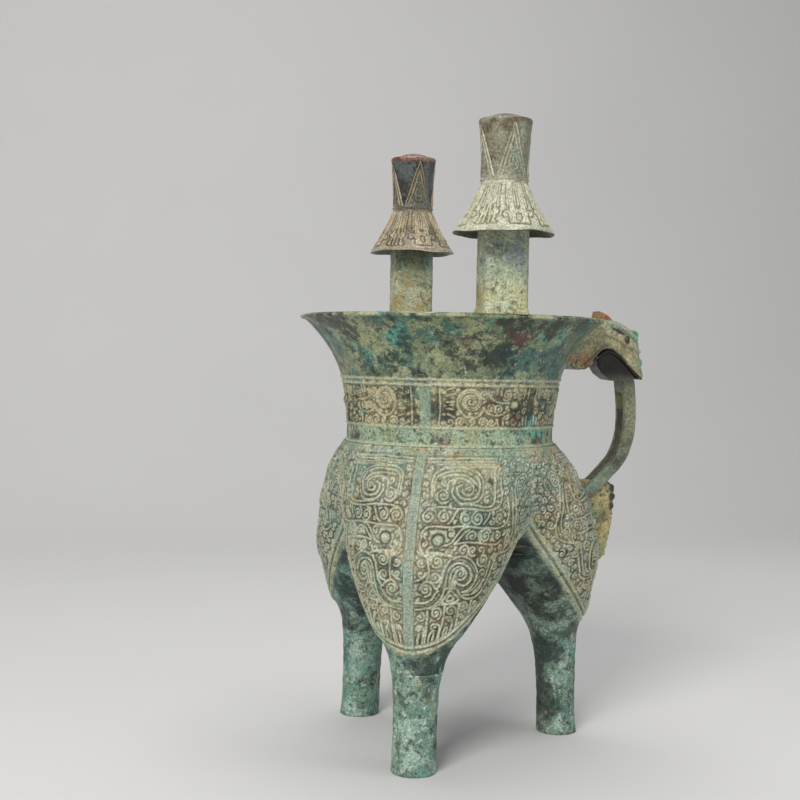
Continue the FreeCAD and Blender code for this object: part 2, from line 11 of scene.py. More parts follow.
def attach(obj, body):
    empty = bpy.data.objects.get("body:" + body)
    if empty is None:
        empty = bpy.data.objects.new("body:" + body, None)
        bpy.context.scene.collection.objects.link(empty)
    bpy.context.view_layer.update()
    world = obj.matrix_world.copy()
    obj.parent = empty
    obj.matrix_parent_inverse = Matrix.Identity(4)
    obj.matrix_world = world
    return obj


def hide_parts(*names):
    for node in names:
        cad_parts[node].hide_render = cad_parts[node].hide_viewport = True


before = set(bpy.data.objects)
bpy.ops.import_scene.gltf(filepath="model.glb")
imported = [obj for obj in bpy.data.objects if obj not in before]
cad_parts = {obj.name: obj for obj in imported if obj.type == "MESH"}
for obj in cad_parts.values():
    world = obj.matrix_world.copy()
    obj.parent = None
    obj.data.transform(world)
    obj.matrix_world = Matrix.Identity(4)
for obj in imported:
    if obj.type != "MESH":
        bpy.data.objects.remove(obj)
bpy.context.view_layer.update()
mm = 0.001


# Neck and mouth: one bronze casting, a thick-lipped flare above a band of small dragons between raised lines.
# The three pouch legs are cast on below it, and the posts and the beast head stand on its rim.
def neck_radius(z):
    """Outer radius of the neck and mouth: nearly straight at the band, then a flare that grows to the rim."""
    return 68 + 32 * np.clip((z - 198) / 82, 0, None) ** 3


def neck_point(z, inwards):
    """A point that lies that far inside the neck's outer face, measured square to it."""
    slope = neck_radius(z + 0.5) - neck_radius(z - 0.5)
    length = hypot(1, slope)
    return neck_radius(z) - inwards / length, z + inwards * slope / length


def grid_faces(rows, cols, wrap, first=0, flip=False):
    """Quads between rows of points that are given upwards and then anticlockwise."""
    low = first + np.arange(rows - 1)[:, None] * cols
    col = np.arange(cols if wrap else cols - 1)[None, :]
    right = (col + 1) % cols
    faces = np.stack([low + col, low + right, low + cols + right, low + cols + col], 2).reshape(-1, 4)
    return (faces[:, ::-1] if flip else faces).tolist()


def store(mesh, fields):
    """Values for the mesh's points under their names: numbers or vectors, or one number for all."""
    count = len(mesh.vertices)
    for label, values in fields.items():
        values = np.asarray(values, np.float32).reshape(-1)
        wide = values.size == count * 3
        layer = mesh.attributes.new(label, "FLOAT_VECTOR" if wide else "FLOAT", "POINT")
        layer.data.foreach_set("vector" if wide else "value", values if values.size > 1 else np.repeat(values, count))


def solid_mesh(name, points, faces, flat_faces=(), **fields):
    """A mesh from points in millimetres, smooth but for the flat faces, with values stored on its points."""
    mesh = bpy.data.meshes.new(name)
    points = np.asarray(points, float).reshape(-1, 3)
    mesh.from_pydata(points * mm, [], list(faces) + list(flat_faces))
    mesh.polygons.foreach_set("use_smooth", np.arange(len(faces) + len(flat_faces)) < len(faces))
    store(mesh, fields)
    work = bmesh.new()
    work.from_mesh(mesh)
    bmesh.ops.remove_doubles(work, verts=work.verts, dist=0.01 * mm)
    work.to_mesh(mesh)
    work.free()
    return mesh


def ring_lathe(outline, columns):
    """Points of a ring turned from a closed outline of radius and height, and its faces."""
    angles = np.arange(columns) * 2 * pi / columns
    points = np.array([[(r * cos(a), r * sin(a), z) for a in angles] for r, z in list(outline) + [outline[0]]])
    return points, angles, grid_faces(len(points), columns, True)


def smooth_line(points, step=0.7):
    """A rounded line through a few points, as many short steps."""
    p = np.array(points, float)
    p = np.vstack([2 * p[0] - p[1], p, 2 * p[-1] - p[-2]])
    out = []
    for k in range(1, len(p) - 2):
        n = max(int(np.hypot(*(p[k + 1] - p[k])) / step), 1)
        t = np.arange(n)[:, None] / n
        out.append(0.5 * (2 * p[k] + (p[k + 1] - p[k - 1]) * t
                          + (2 * p[k - 1] - 5 * p[k] + 4 * p[k + 1] - p[k + 2]) * t ** 2
                          + (3 * p[k] - p[k - 1] - 3 * p[k + 1] + p[k + 2]) * t ** 3))
    out.append(p[-2:-1])
    return np.vstack(out)


def new_tree(name, sockets):
    """An empty Geometry Nodes tree with its named inputs, and the sockets they come from."""
    tree = bpy.data.node_groups.new(name, "GeometryNodeTree")
    for label, kind in sockets:
        tree.interface.new_socket(label, in_out="INPUT", socket_type=kind)
    tree.interface.new_socket("Geometry", in_out="OUTPUT", socket_type="NodeSocketGeometry")
    return tree, tree.nodes.new("NodeGroupInput").outputs


def add(tree, kind, links=(), **settings):
    """One node: settings are its properties, links pairs of (input, value or output socket)."""
    node = tree.nodes.new(kind)
    for key, value in settings.items():
        setattr(node, key, value)
    for key, value in links:
        socket = node.inputs[key]
        if isinstance(value, bpy.types.NodeSocket):
            tree.links.new(value, socket)
        else:
            socket.default_value = value
    return node


def calc(tree, operation, *values):
    return add(tree, "ShaderNodeMath", enumerate(values), operation=operation).outputs[0]


def vector_calc(tree, operation, *values):
    node = add(tree, "ShaderNodeVectorMath", enumerate(values), operation=operation)
    return node.outputs["Value" if operation == "DISTANCE" else "Vector"]


def scaled(tree, vector, factor):
    return add(tree, "ShaderNodeVectorMath", [(0, vector), ("Scale", factor)], operation="SCALE").outputs[0]


def ramp(tree, value, low, high, at_low=0.0, at_high=1.0, smooth=False):
    """A value carried from one range to another and held at its ends."""
    return add(tree, "ShaderNodeMapRange", [
        ("Value", value), ("From Min", low), ("From Max", high), ("To Min", at_low), ("To Max", at_high)],
        interpolation_type="SMOOTHSTEP" if smooth else "LINEAR").outputs[0]


def stored(tree, label, kind="FLOAT"):
    """A value stored on the geometry under that name."""
    return add(tree, "GeometryNodeInputNamedAttribute", [("Name", label)], data_type=kind).outputs[0]


def finish_tree(tree, geometry):
    end = tree.nodes.new("NodeGroupOutput")
    tree.links.new(geometry, end.inputs[0])
    return tree


def baked(obj):
    """The object's shape after its modifiers, as a plain mesh."""
    return bpy.data.meshes.new_from_object(obj.evaluated_get(bpy.context.evaluated_depsgraph_get()))


def evaluated(obj, tree, values):
    """The object's mesh after a node tree with those input values, as a plain mesh."""
    modifier = obj.modifiers.new("make", "NODES")
    modifier.node_group = tree
    ids = {item.name: item.identifier for item in tree.interface.items_tree if item.in_out == "INPUT"}
    for label, value in values.items():
        if value is not None:
            modifier[ids[label]] = value
    mesh = baked(obj)
    obj.modifiers.remove(modifier)
    return mesh


def make_object(name, mesh):
    obj = bpy.data.objects.new(name, mesh)
    bpy.context.scene.collection.objects.link(obj)
    return obj


def spiral_tree():
    """Spirals of an even pitch on points: each is cut off at its point's radius and turned to its point's angle."""
    tree, start = new_tree("spirals", [("Geometry", "NodeSocketGeometry"), ("Pitch", "NodeSocketFloat")])
    turns = 6
    curve = add(tree, "GeometryNodeCurveSpiral", [
        ("Resolution", 22), ("Rotations", turns), ("Start Radius", 0.0),
        ("End Radius", calc(tree, "MULTIPLY", start["Pitch"], turns)), ("Height", 0.0)])
    thin = add(tree, "GeometryNodeCurveToMesh", [("Curve", curve.outputs[0])])
    hand = stored(tree, "hand")
    around = calc(tree, "DIVIDE", stored(tree, "size"), start["Pitch"])
    sweep = calc(tree, "MULTIPLY", calc(tree, "MULTIPLY", around, -2 * pi), hand)
    turn = add(tree, "ShaderNodeCombineXYZ", [("Z", calc(tree, "ADD", sweep, stored(tree, "finish")))])
    scale = add(tree, "ShaderNodeCombineXYZ", [("X", 1.0), ("Y", hand), ("Z", 1.0)])
    placed = add(tree, "GeometryNodeInstanceOnPoints", [
        ("Points", start["Geometry"]), ("Instance", thin.outputs[0]),
        ("Rotation", turn.outputs[0]), ("Scale", scale.outputs[0])])
    place = tree.nodes.new("GeometryNodeInputPosition").outputs[0]
    kept = add(tree, "GeometryNodeStoreNamedAttribute", [
        ("Geometry", placed.outputs[0]), ("Name", "middle"), ("Value", place)],
        data_type="FLOAT_VECTOR", domain="INSTANCE")
    real = add(tree, "GeometryNodeRealizeInstances", [("Geometry", kept.outputs[0])])
    apart = vector_calc(tree, "DISTANCE", place, stored(tree, "middle", "FLOAT_VECTOR"))
    beyond = add(tree, "FunctionNodeCompare", [(0, apart), (1, stored(tree, "size"))],
                 data_type="FLOAT", operation="GREATER_THAN")
    cut = add(tree, "GeometryNodeDeleteGeometry", [("Geometry", real.outputs[0]), ("Selection", beyond.outputs[0])])
    return finish_tree(tree, cut.outputs[0])


spirals = spiral_tree()


def thread_object(name, strokes, curls, pitch):
    """The pattern's raised threads as edges in a flat plane, in millimetres: strokes and spirals."""
    points, edges = [], []
    for stroke in strokes:
        line = smooth_line(stroke)
        edges += [(len(points) + k, len(points) + k + 1) for k in range(len(line) - 1)]
        points += [(x, y, 0) for x, y in line]
    seeds = bpy.data.meshes.new("curls")
    places, sizes, ends, hands = zip(*[((x, y, 0), size, radians(end), hand) for x, y, size, end, hand in curls])
    seeds.from_pydata(places, [], [])
    store(seeds, {"size": sizes, "finish": ends, "hand": hands})
    seed_object = make_object("curls", seeds)
    made = evaluated(seed_object, spirals, {"Pitch": pitch})
    first = len(points)
    points += [tuple(v.co) for v in made.vertices]
    edges += [(first + e.vertices[0], first + e.vertices[1]) for e in made.edges]
    bpy.data.objects.remove(seed_object)
    mesh = bpy.data.meshes.new(name)
    mesh.from_pydata(points, edges, [])
    return make_object(name, mesh)


def relief_tree():
    """Threads raised on a surface: each point's place in the flat pattern is its attribute flat."""
    tree, start = new_tree("raise_threads", [
        ("Geometry", "NodeSocketGeometry"), ("Threads", "NodeSocketObject"), ("Forms", "NodeSocketObject"),
        ("Half width", "NodeSocketFloat"), ("Height", "NodeSocketFloat"), ("Form height", "NodeSocketFloat"),
        ("Roughness", "NodeSocketFloat"), ("Finish", "NodeSocketMaterial")])
    place = tree.nodes.new("GeometryNodeInputPosition").outputs[0]

    def cloud(scale, detail):
        return add(tree, "ShaderNodeTexNoise", [("Vector", place), ("Scale", scale), ("Detail", detail)]).outputs

    # The lines wander a little, as they would in a hand-cut mould
    wander = vector_calc(tree, "SUBTRACT", cloud(90.0, 1.0)["Color"], (0.5, 0.5, 0.5))
    drift = vector_calc(tree, "MULTIPLY", wander, (1.8, 1.8, 0.0))
    moved = vector_calc(tree, "ADD", stored(tree, "flat", "FLOAT_VECTOR"), drift)

    def distance_to(tool, element):
        lines = add(tree, "GeometryNodeObjectInfo", [("Object", start[tool])])
        return add(tree, "GeometryNodeProximity", [
            (0, lines.outputs["Geometry"]), ("Source Position", moved)], target_element=element).outputs["Distance"]

    near = distance_to("Threads", "EDGES")
    thread = ramp(tree, near, 0.0, start["Half width"], 1.0, 0.0, smooth=True)
    half_widths = [calc(tree, "MULTIPLY", start["Half width"], share) for share in (0.75, 1.35, 2.3, 3.8)]
    groove = calc(tree, "MULTIPLY", ramp(tree, near, *half_widths[:2], smooth=True),
                  ramp(tree, near, *half_widths[2:], 1.0, 0.0, smooth=True))
    form = ramp(tree, distance_to("Forms", "FACES"), 0.05, 0.9, 1.0, 0.0, smooth=True)
    worn = ramp(tree, cloud(60.0, 2.0)[0], 0.32, 0.55, 0.45, 1.0)
    amount = stored(tree, "patterned")
    ridge = calc(tree, "MULTIPLY", calc(tree, "MULTIPLY", thread, start["Height"]), worn)
    plate = calc(tree, "MULTIPLY", form, start["Form height"])
    total = calc(tree, "ADD", calc(tree, "ADD", ridge, plate), calc(tree, "MULTIPLY", groove, -0.25))
    total = calc(tree, "MULTIPLY", total, amount)
    lumps = calc(tree, "MULTIPLY", ramp(tree, cloud(150.0, 3.0)[0], 0.3, 0.7, -0.7, 0.3), start["Roughness"])
    total = calc(tree, "ADD", calc(tree, "ADD", total, lumps), stored(tree, "raise"))
    normal = tree.nodes.new("GeometryNodeInputNormal").outputs[0]
    offset = scaled(tree, normal, calc(tree, "MULTIPLY", total, mm))
    last = start["Geometry"]
    for label, value in (("thread", thread), ("groove", groove), ("form", form)):
        last = add(tree, "GeometryNodeStoreNamedAttribute", [
            ("Geometry", last), ("Name", label), ("Value", calc(tree, "MULTIPLY", value, amount))]).outputs[0]
    last = add(tree, "GeometryNodeSetPosition", [("Geometry", last), ("Offset", offset)]).outputs[0]
    last = add(tree, "GeometryNodeRealizeInstances", [("Geometry", last)]).outputs[0]
    last = add(tree, "GeometryNodeSetMaterial", [("Geometry", last), ("Material", start["Finish"])]).outputs[0]
    return finish_tree(tree, last)


raise_threads = relief_tree()


def cast_piece(name, mesh, finish, node, threads=None, forms=None, width=0.55, height=0.7, form=0.5, rough=0.2):
    """A casting with its relief raised and its finish on, standing for the CAD node."""
    blank = make_object(name + "_blank", mesh)
    made = evaluated(blank, raise_threads, {
        "Threads": threads, "Forms": forms, "Half width": width, "Height": height, "Form height": form,
        "Roughness": rough, "Finish": finish})
    bpy.data.objects.remove(blank)
    piece = make_object(name, made)
    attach(piece, "root")
    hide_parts(node)


def tint(code):
    """A linear colour from six sRGB hex digits."""
    rgb = [int(code[k:k + 2], 16) / 255 for k in (0, 2, 4)]
    return tuple(c / 12.92 if c <= 0.04045 else ((c + 0.055) / 1.055) ** 2.4 for c in rgb) + (1.0,)


def shader_group(name, inputs, output, kind):
    """An empty shader node group: a vector and named numbers go in, one value comes out."""
    group = bpy.data.node_groups.new(name, "ShaderNodeTree")
    group.interface.new_socket("Vector", in_out="INPUT", socket_type="NodeSocketVector")
    for label, value in inputs:
        group.interface.new_socket(label, in_out="INPUT", socket_type="NodeSocketFloat").default_value = value
    group.interface.new_socket(output, in_out="OUTPUT", socket_type=kind)
    return group, group.nodes.new("NodeGroupInput").outputs, group.nodes.new("NodeGroupOutput").inputs


def patch_group():
    """Where a corrosion colour has grown: ragged patches of a size, a share and an edge."""
    group, start, end = shader_group(
        "patches", [("Scale", 40.0), ("Shift", 0.0), ("Level", 0.5), ("Edge", 0.05)], "Mask", "NodeSocketFloat")
    cloud = add(group, "ShaderNodeTexNoise", [
        ("Vector", vector_calc(group, "ADD", start["Vector"], start["Shift"])), ("Scale", start["Scale"]),
        ("Detail", 10.0), ("Roughness", 0.72)])
    low, high = (calc(group, way, start["Level"], start["Edge"]) for way in ("SUBTRACT", "ADD"))
    group.links.new(ramp(group, cloud.outputs[0], low, high, smooth=True), end[0])
    return group


def grain_group():
    """The fine pitted skin of old bronze, as a normal."""
    group, start, end = shader_group("grain", [("Depth", 0.25)], "Normal", "NodeSocketVector")
    fine = add(group, "ShaderNodeTexNoise", [
        ("Vector", start["Vector"]), ("Scale", 900.0), ("Detail", 6.0), ("Roughness", 0.7)])
    pits = add(group, "ShaderNodeTexVoronoi", [("Vector", start["Vector"]), ("Scale", 520.0)])
    height = calc(group, "ADD", fine.outputs[0], ramp(group, pits.outputs["Distance"], 0.0, 0.35))
    bump = add(group, "ShaderNodeBump", [("Strength", start["Depth"]), ("Distance", 0.0006), ("Height", height)])
    group.links.new(bump.outputs[0], end[0])
    return group


patches = patch_group()
grain = grain_group()


def blend_colour(tree, mask, below, above, share=1.0):
    if share != 1.0:
        mask = calc(tree, "MULTIPLY", mask, share)
    return add(tree, "ShaderNodeMix", [(0, mask), (6, below), (7, above)], data_type="RGBA").outputs[2]


def attribute(tree, name):
    return add(tree, "ShaderNodeAttribute", attribute_name=name).outputs["Fac"]


def new_material(name, depth):
    """A material with the pitted skin that deep: its node tree, shader, and place on the vessel."""
    material = bpy.data.materials.new(name)
    material.use_nodes = True
    tree = material.node_tree
    surface = tree.nodes["Principled BSDF"]
    place = tree.nodes.new("ShaderNodeTexCoord").outputs["Object"]
    if depth:
        skin = add(tree, "ShaderNodeGroup", node_tree=grain)
        skin.inputs["Depth"].default_value = depth
        tree.links.new(place, skin.inputs["Vector"])
        tree.links.new(skin.outputs[0], surface.inputs["Normal"])
    return material, tree, surface.inputs, place


def patch_mask(tree, place, scale, shift, level, edge):
    node = add(tree, "ShaderNodeGroup", node_tree=patches)
    for label, value in (("Scale", scale), ("Shift", shift), ("Level", level), ("Edge", edge)):
        node.inputs[label].default_value = value
    tree.links.new(place, node.inputs["Vector"])
    return node.outputs[0]


def bronze(name, ground, growths, relief=None, zones=(), stains=(), rough=(0.62, 0.38), depth=0.3, fade_height=0.17,
           lower=None):
    """Patinated bronze: two ground colours, growths of others over them, and for cast relief the colours of its
    ridges and grooves. The grooves' dark colour is dark patina with painted crevice shade, and it is weaker above a
    height. A growth is colour, patch scale, shift, level, edge and strength; a zone or a stain is a point value's name,
    colour, strength and the scale of its patches, or 0. The second ground and growths in `lower` take over, with a
    ragged edge, where the point value "lower" is 1. The point value "shade" darkens the colour as painted shade."""
    material, tree, surface, place = new_material(name, depth)

    def patch(scale, shift, level, edge):
        return patch_mask(tree, place, scale, shift, level, edge)

    def stained(colour, marks):
        for k, (label, code, strength, scale) in enumerate(marks):
            mask = attribute(tree, label)
            if scale:
                mask = calc(tree, "MULTIPLY", mask, patch(scale, 40.0 + 3 * k, 0.52, 0.04))
            colour = blend_colour(tree, mask, colour, tint(code), strength)
        return colour

    def layers(ground, growths, zones=()):
        colour = blend_colour(tree, patch(45, 0.0, 0.5, 0.1), tint(ground[0]), tint(ground[1]))
        colour = stained(colour, zones)
        for code, scale, shift, level, edge, strength in growths:
            colour = blend_colour(tree, patch(scale, shift, level, edge), colour, tint(code), strength)
        return colour

    colour = layers(ground, growths, zones)
    if lower:
        ragged = calc(tree, "MULTIPLY_ADD", attribute(tree, "lower"), 2.0, patch(70, 50.0, 0.5, 0.16))
        colour = blend_colour(tree, ramp(tree, ragged, 1.0, 2.0, smooth=True), colour, layers(*lower))
    if relief:
        ridge, tan_ridge, hollow, deep_hollow = (tint(code) for code in relief)
        height = add(tree, "ShaderNodeSeparateXYZ", [(0, place)]).outputs[2]
        # Painted crevice shade over dark patina: the grooves beside the threads are darkened in ragged patches, less so
        # above the fade height.
        groove_fade = ramp(tree, height, fade_height + 0.03, fade_height, 0.45, 1.0)
        patina_and_groove_shade = calc(tree, "MULTIPLY", ramp(tree, patch(38, 7.0, 0.46, 0.12), 0.0, 1.0, 0.45, 1.0), groove_fade)
        sunk = calc(tree, "MULTIPLY", attribute(tree, "groove"), patina_and_groove_shade)
        dark = blend_colour(tree, patch(55, 11.0, 0.53, 0.06), hollow, deep_hollow)
        colour = blend_colour(tree, sunk, colour, dark, 0.93)
        crest = blend_colour(tree, patch(60, 5.0, 0.55, 0.08), ridge, tan_ridge)
        worn = ramp(tree, patch(90, 17.0, 0.45, 0.12), 0.0, 1.0, 0.35, 0.9)
        colour = blend_colour(tree, calc(tree, "MULTIPLY", attribute(tree, "thread"), worn), colour, crest)
    colour = stained(colour, stains)
    fine = add(tree, "ShaderNodeTexNoise", [("Vector", place), ("Scale", 750.0), ("Detail", 3.0), ("Roughness", 0.65)])
    speckle = ramp(tree, fine.outputs[0], 0.34, 0.62, 0.5, 1.18)
    light = calc(tree, "MULTIPLY", speckle, ramp(tree, attribute(tree, "shade"), 0.0, 1.0, 1.0, 0.15))
    tree.links.new(scaled(tree, colour, light), surface["Base Color"])
    dull = ramp(tree, patch(30, 1.0, 0.52, 0.1), 0.0, 1.0, *rough)
    tree.links.new(ramp(tree, attribute(tree, "gloss"), 0.0, 1.0, dull, 0.16), surface["Roughness"])
    return material


# Band pattern, one panel in millimetres from a leg's rib to the next divider and above the ground: strokes, then
# spirals as place, radius, angle where the thread ends and the side it winds to
band_strokes = [
    [(9, 212), (9, 236)],
    [(14, 234), (18, 235.5)], [(13.5, 230), (18, 231.5)], [(13, 226), (18, 226.5)], [(13.5, 222), (18, 221.5)],
    [(14, 218.5), (18.5, 217)],
    [(28.3 + (8.6 - 0.29 * k) * cos(pi * (1.2 - k / 6)), 227 + (8.6 - 0.29 * k) * sin(pi * (1.2 - k / 6)))
     for k in range(28)],
    [(28.3 + (6.9 - 0.29 * k) * cos(pi * (1.0 - k / 6)), 227 + (6.9 - 0.29 * k) * sin(pi * (1.0 - k / 6)))
     for k in range(20)],
    [(21.3, 222), (25, 217.3), (31, 216.8), (35.5, 219.5), (37, 223), (38.5, 220.5), (43, 218.5), (49, 219),
     (52, 221)],
    [(39, 231.5), (43, 228), (48, 226.5), (53, 226.5), (57, 225)],
    [(45, 235.5), (45.5, 231.5)], [(48, 235.5), (48, 231)],
    [(66, 235), (65.5, 229)], [(69, 235), (69, 229)], [(66, 217), (66, 212.5)], [(69, 218), (69, 212.5)],
    [(46, 216), (47, 212.5)], [(50, 217), (50.5, 212.5)],
]
band_curls = [
    (36.5, 231.5, 3.6, 120, -1), (41.5, 222.5, 3.2, 80, 1), (47, 222.5, 3.3, 80, -1), (52, 231.5, 3.6, 150, 1),
    (15.5, 213.8, 2.6, 90, 1), (22, 214, 3.2, 90, -1), (29, 214.2, 2.4, 90, 1), (36.5, 214, 3.4, 150, 1),
    (42.5, 214.2, 2.6, 90, -1), (58, 214.5, 2.6, 90, -1), (62.5, 233, 2.6, 90, 1), (12, 214, 1.4, 0, 1),
    (57.5, 233.5, 2.2, 0, 1), (62, 226, 1.6, 0, 1),
]
band_eye = (58.5, 224.5, 3.0)
band_low, band_high = 210, 240
neck_wall = 3.6


def small_curls(strokes, curls, columns, rows, allowed, sizes):
    """More spirals for the bare ground of a pattern, each as large as its place allows, winding to either side."""
    dice = np.random.default_rng(7)
    taken = np.vstack([smooth_line(stroke) for stroke in strokes])
    homes = [(x, y, size) for x, y, size, *rest in curls]
    added = []
    for size in sizes:
        for y in np.arange(*rows, 0.9):
            for x in np.arange(*columns, 0.9):
                if not allowed(x, y, size):
                    continue
                if np.min(np.hypot(taken[:, 0] - x, taken[:, 1] - y)) < size + 0.75:
                    continue
                if min(hypot(a - x, b - y) - r for a, b, r in homes) < size + 0.45:
                    continue
                homes.append((x, y, size))
                added.append((x, y, size, float(dice.integers(0, 8) * 45), int(dice.integers(0, 2) * 2 - 1)))
    return added


def oval(x, y, wide, tall):
    """An oval's outline from its middle, half width and half height."""
    return [(x + wide * cos(a * pi / 12), y + tall * sin(a * pi / 12)) for a in range(24)]


def flat_plates(name, outlines):
    """Flat plates in a pattern's plane, where a form stands up."""
    points, faces = [], []
    for outline in outlines:
        faces.append(tuple(range(len(points), len(points) + len(outline))))
        points += [(x, y, 0) for x, y in outline]
    mesh = bpy.data.meshes.new(name)
    mesh.from_pydata(points, [], faces)
    return make_object(name, mesh)


def step_up(value, low, high):
    """A smooth step from 0 to 1 between two values."""
    t = np.clip((value - low) / (high - low), 0, 1)
    return t * t * (3 - 2 * t)


def dome(distance, radius):
    """The height of a ball that stands half out of a surface."""
    return np.sqrt(np.clip(radius ** 2 - distance ** 2, 0, None))


def neck_outline():
    """Radius and height from the lower ring up the outside, over the lip and down the inside; and how much of it
    is outside."""
    heights = np.concatenate([np.arange(197.6, 243, 0.55), np.arange(243, 277.5, 1.1)])
    outside = [neck_point(z, 0) for z in heights]
    lip = [(98.3, 277.3), (99.2, 277.5), (99.8, 278.1), (99.95, 278.9), (99.6, 279.6), (98.8, 279.95),
           (97.2, 279.9), (96.2, 279.4)]
    inside = [neck_point(z, neck_wall) for z in np.concatenate([np.arange(278, 243, -1.5), np.arange(243, 203, -2.5)])]
    ring = [(64.5, 201), (61.2, 198.5), (61.2, 190.2), (64.4, 190.2), (64.5, 197.6)]
    return outside + lip + inside + ring, len(outside)


outline, outside_rows = neck_outline()
points, angles, faces = ring_lathe(outline, 760)
around = np.radians(abs((np.degrees(angles) + 60) % 120 - 60)) * 69.5
u = np.repeat(around[None, :], len(points), 0)
v = points[..., 2]
outside = (np.arange(len(points)) < outside_rows)[:, None]
lines = sum(np.exp(-((v - at) / 0.8) ** 2) for at in (band_low, band_high - 3.3, band_high))
joint = step_up(v, 200.6, 198.6) * outside
rib = step_up(u, 3.9, 3.2) * step_up(v, 210, 211) * step_up(v, 237, 236)
rib_lines = np.exp(-((u - 3.0) / 0.5) ** 2) * rib * 0.35
divider = np.exp(-((u - 72.0) / 0.9) ** 2) * step_up(v, 210, 211) * step_up(v, 237, 236)
eye = np.hypot(u - band_eye[0], v - band_eye[1])
raised = lines * 0.95 + joint * 1.15 + rib * 0.65 + rib_lines + divider * 0.7 + dome(eye, band_eye[2]) * 0.55
pattern = step_up(u, 5.0, 6.0) * step_up(v, 211, 211.8) * step_up(v, 236.2, 235.4) * outside * (eye > 3.6)
# Painted shade: a near-black ring round the band's eye boss, stored as dent.
hollow = np.exp(-((eye - 3.6) / 0.7) ** 2) * outside
inner_shade = np.where(outside, 0.0, step_up(v, 279, 215)) * 0.9
band_curls += small_curls(band_strokes, band_curls + [(*band_eye, 4.0)], (6.5, 72), (212.5, 236),
                          lambda x, y, size: 211.6 + size < y < 235.8 - size and 6.2 + size < x < 71.5 - size,
                          (2.3, 1.8, 1.4))
neck_threads = thread_object("band_threads", band_strokes, band_curls, 1.9)
neck_forms = flat_plates("band_forms", [oval(28.5, 228, 8.5, 7.0), oval(47, 223, 10, 3.2)])
neck_mesh = solid_mesh("neck", points, faces, flat=np.stack([u, v, 0 * v], 2), patterned=pattern,
                       **{"raise": raised * outside, "dent": hollow, "shade": inner_shade,
                          "rib": rib * outside * (v < 236),
                          "band": step_up(v, 209.5, 210.5) * step_up(v, 241, 240) * outside,
                          "collar": step_up(v, 210.5, 209.5) * outside,
                          "edge_line": (lines + joint) * outside, "rim": step_up(v, 277.6, 278.8)})
# The rim stain paints a pale cream highlight along the top of the lip.
flare_finish = bronze("patina_flare", ("6C7A5E", "8E9A76"), [
    ("3E716A", 24, 9.0, 0.535, 0.03, 0.85), ("A7AD83", 44, 5.0, 0.545, 0.04, 0.8),
    ("1F2A27", 30, 31.0, 0.55, 0.03, 0.85), ("6B4236", 42, 14.0, 0.60, 0.03, 0.8),
    ("62AFA2", 28, 21.0, 0.605, 0.03, 0.85), ("2B332A", 190, 27.0, 0.555, 0.03, 0.75),
    ("BCC4A2", 240, 33.0, 0.60, 0.03, 0.6)],
    relief=("D6D3B4", "C4A97C", "3A3526", "5E3326"), rough=(0.5, 0.34), depth=0.35, fade_height=0.214,
    zones=[("band", "BDB88F", 0.92, 0), ("collar", "A9BDA2", 0.9, 0)],
    stains=[("dent", "1F241E", 0.85, 0), ("edge_line", "C9CDB0", 0.75, 0), ("rib", "9BB29B", 0.65, 0),
            ("rim", "C6C29B", 0.75, 50)])
cast_piece("neck", neck_mesh, flare_finish, "neck_and_mouth", neck_threads, neck_forms,
           width=0.66, height=0.8, form=0.5)


# The three pouch legs: hollow castings that meet in soft valleys, each with a wide-eyed mask on both sides of a
# flat rib, raised threads over a darker ground, inside a double border. Cast in one with the neck and the feet.
shoulder, knee = 198, 62
wall, hollow_floor = 4.2, 16
leg_turns = {"handle": 0.0, "front": -2 * pi / 3, "back": 2 * pi / 3}
mask_eye = (16.5, 145)
pouch_rows = np.array([
    (0.00, 1.000, 0.019, 1.00), (0.06, 0.996, 0.112, 1.00), (0.13, 0.967, 0.216, 1.00), (0.20, 0.909, 0.312, 1.00),
    (0.28, 0.848, 0.427, 1.00), (0.36, 0.785, 0.516, 1.00), (0.45, 0.711, 0.610, 0.93), (0.50, 0.668, 0.659, 0.89),
    (0.57, 0.604, 0.712, 0.85), (0.70, 0.450, 0.788, 0.67), (0.83, 0.257, 0.890, 0.72), (0.88, 0.160, 0.914, 0.76),
    (0.95, 0.075, 0.940, 0.80), (1.00, 0.045, 0.960, 0.86)])

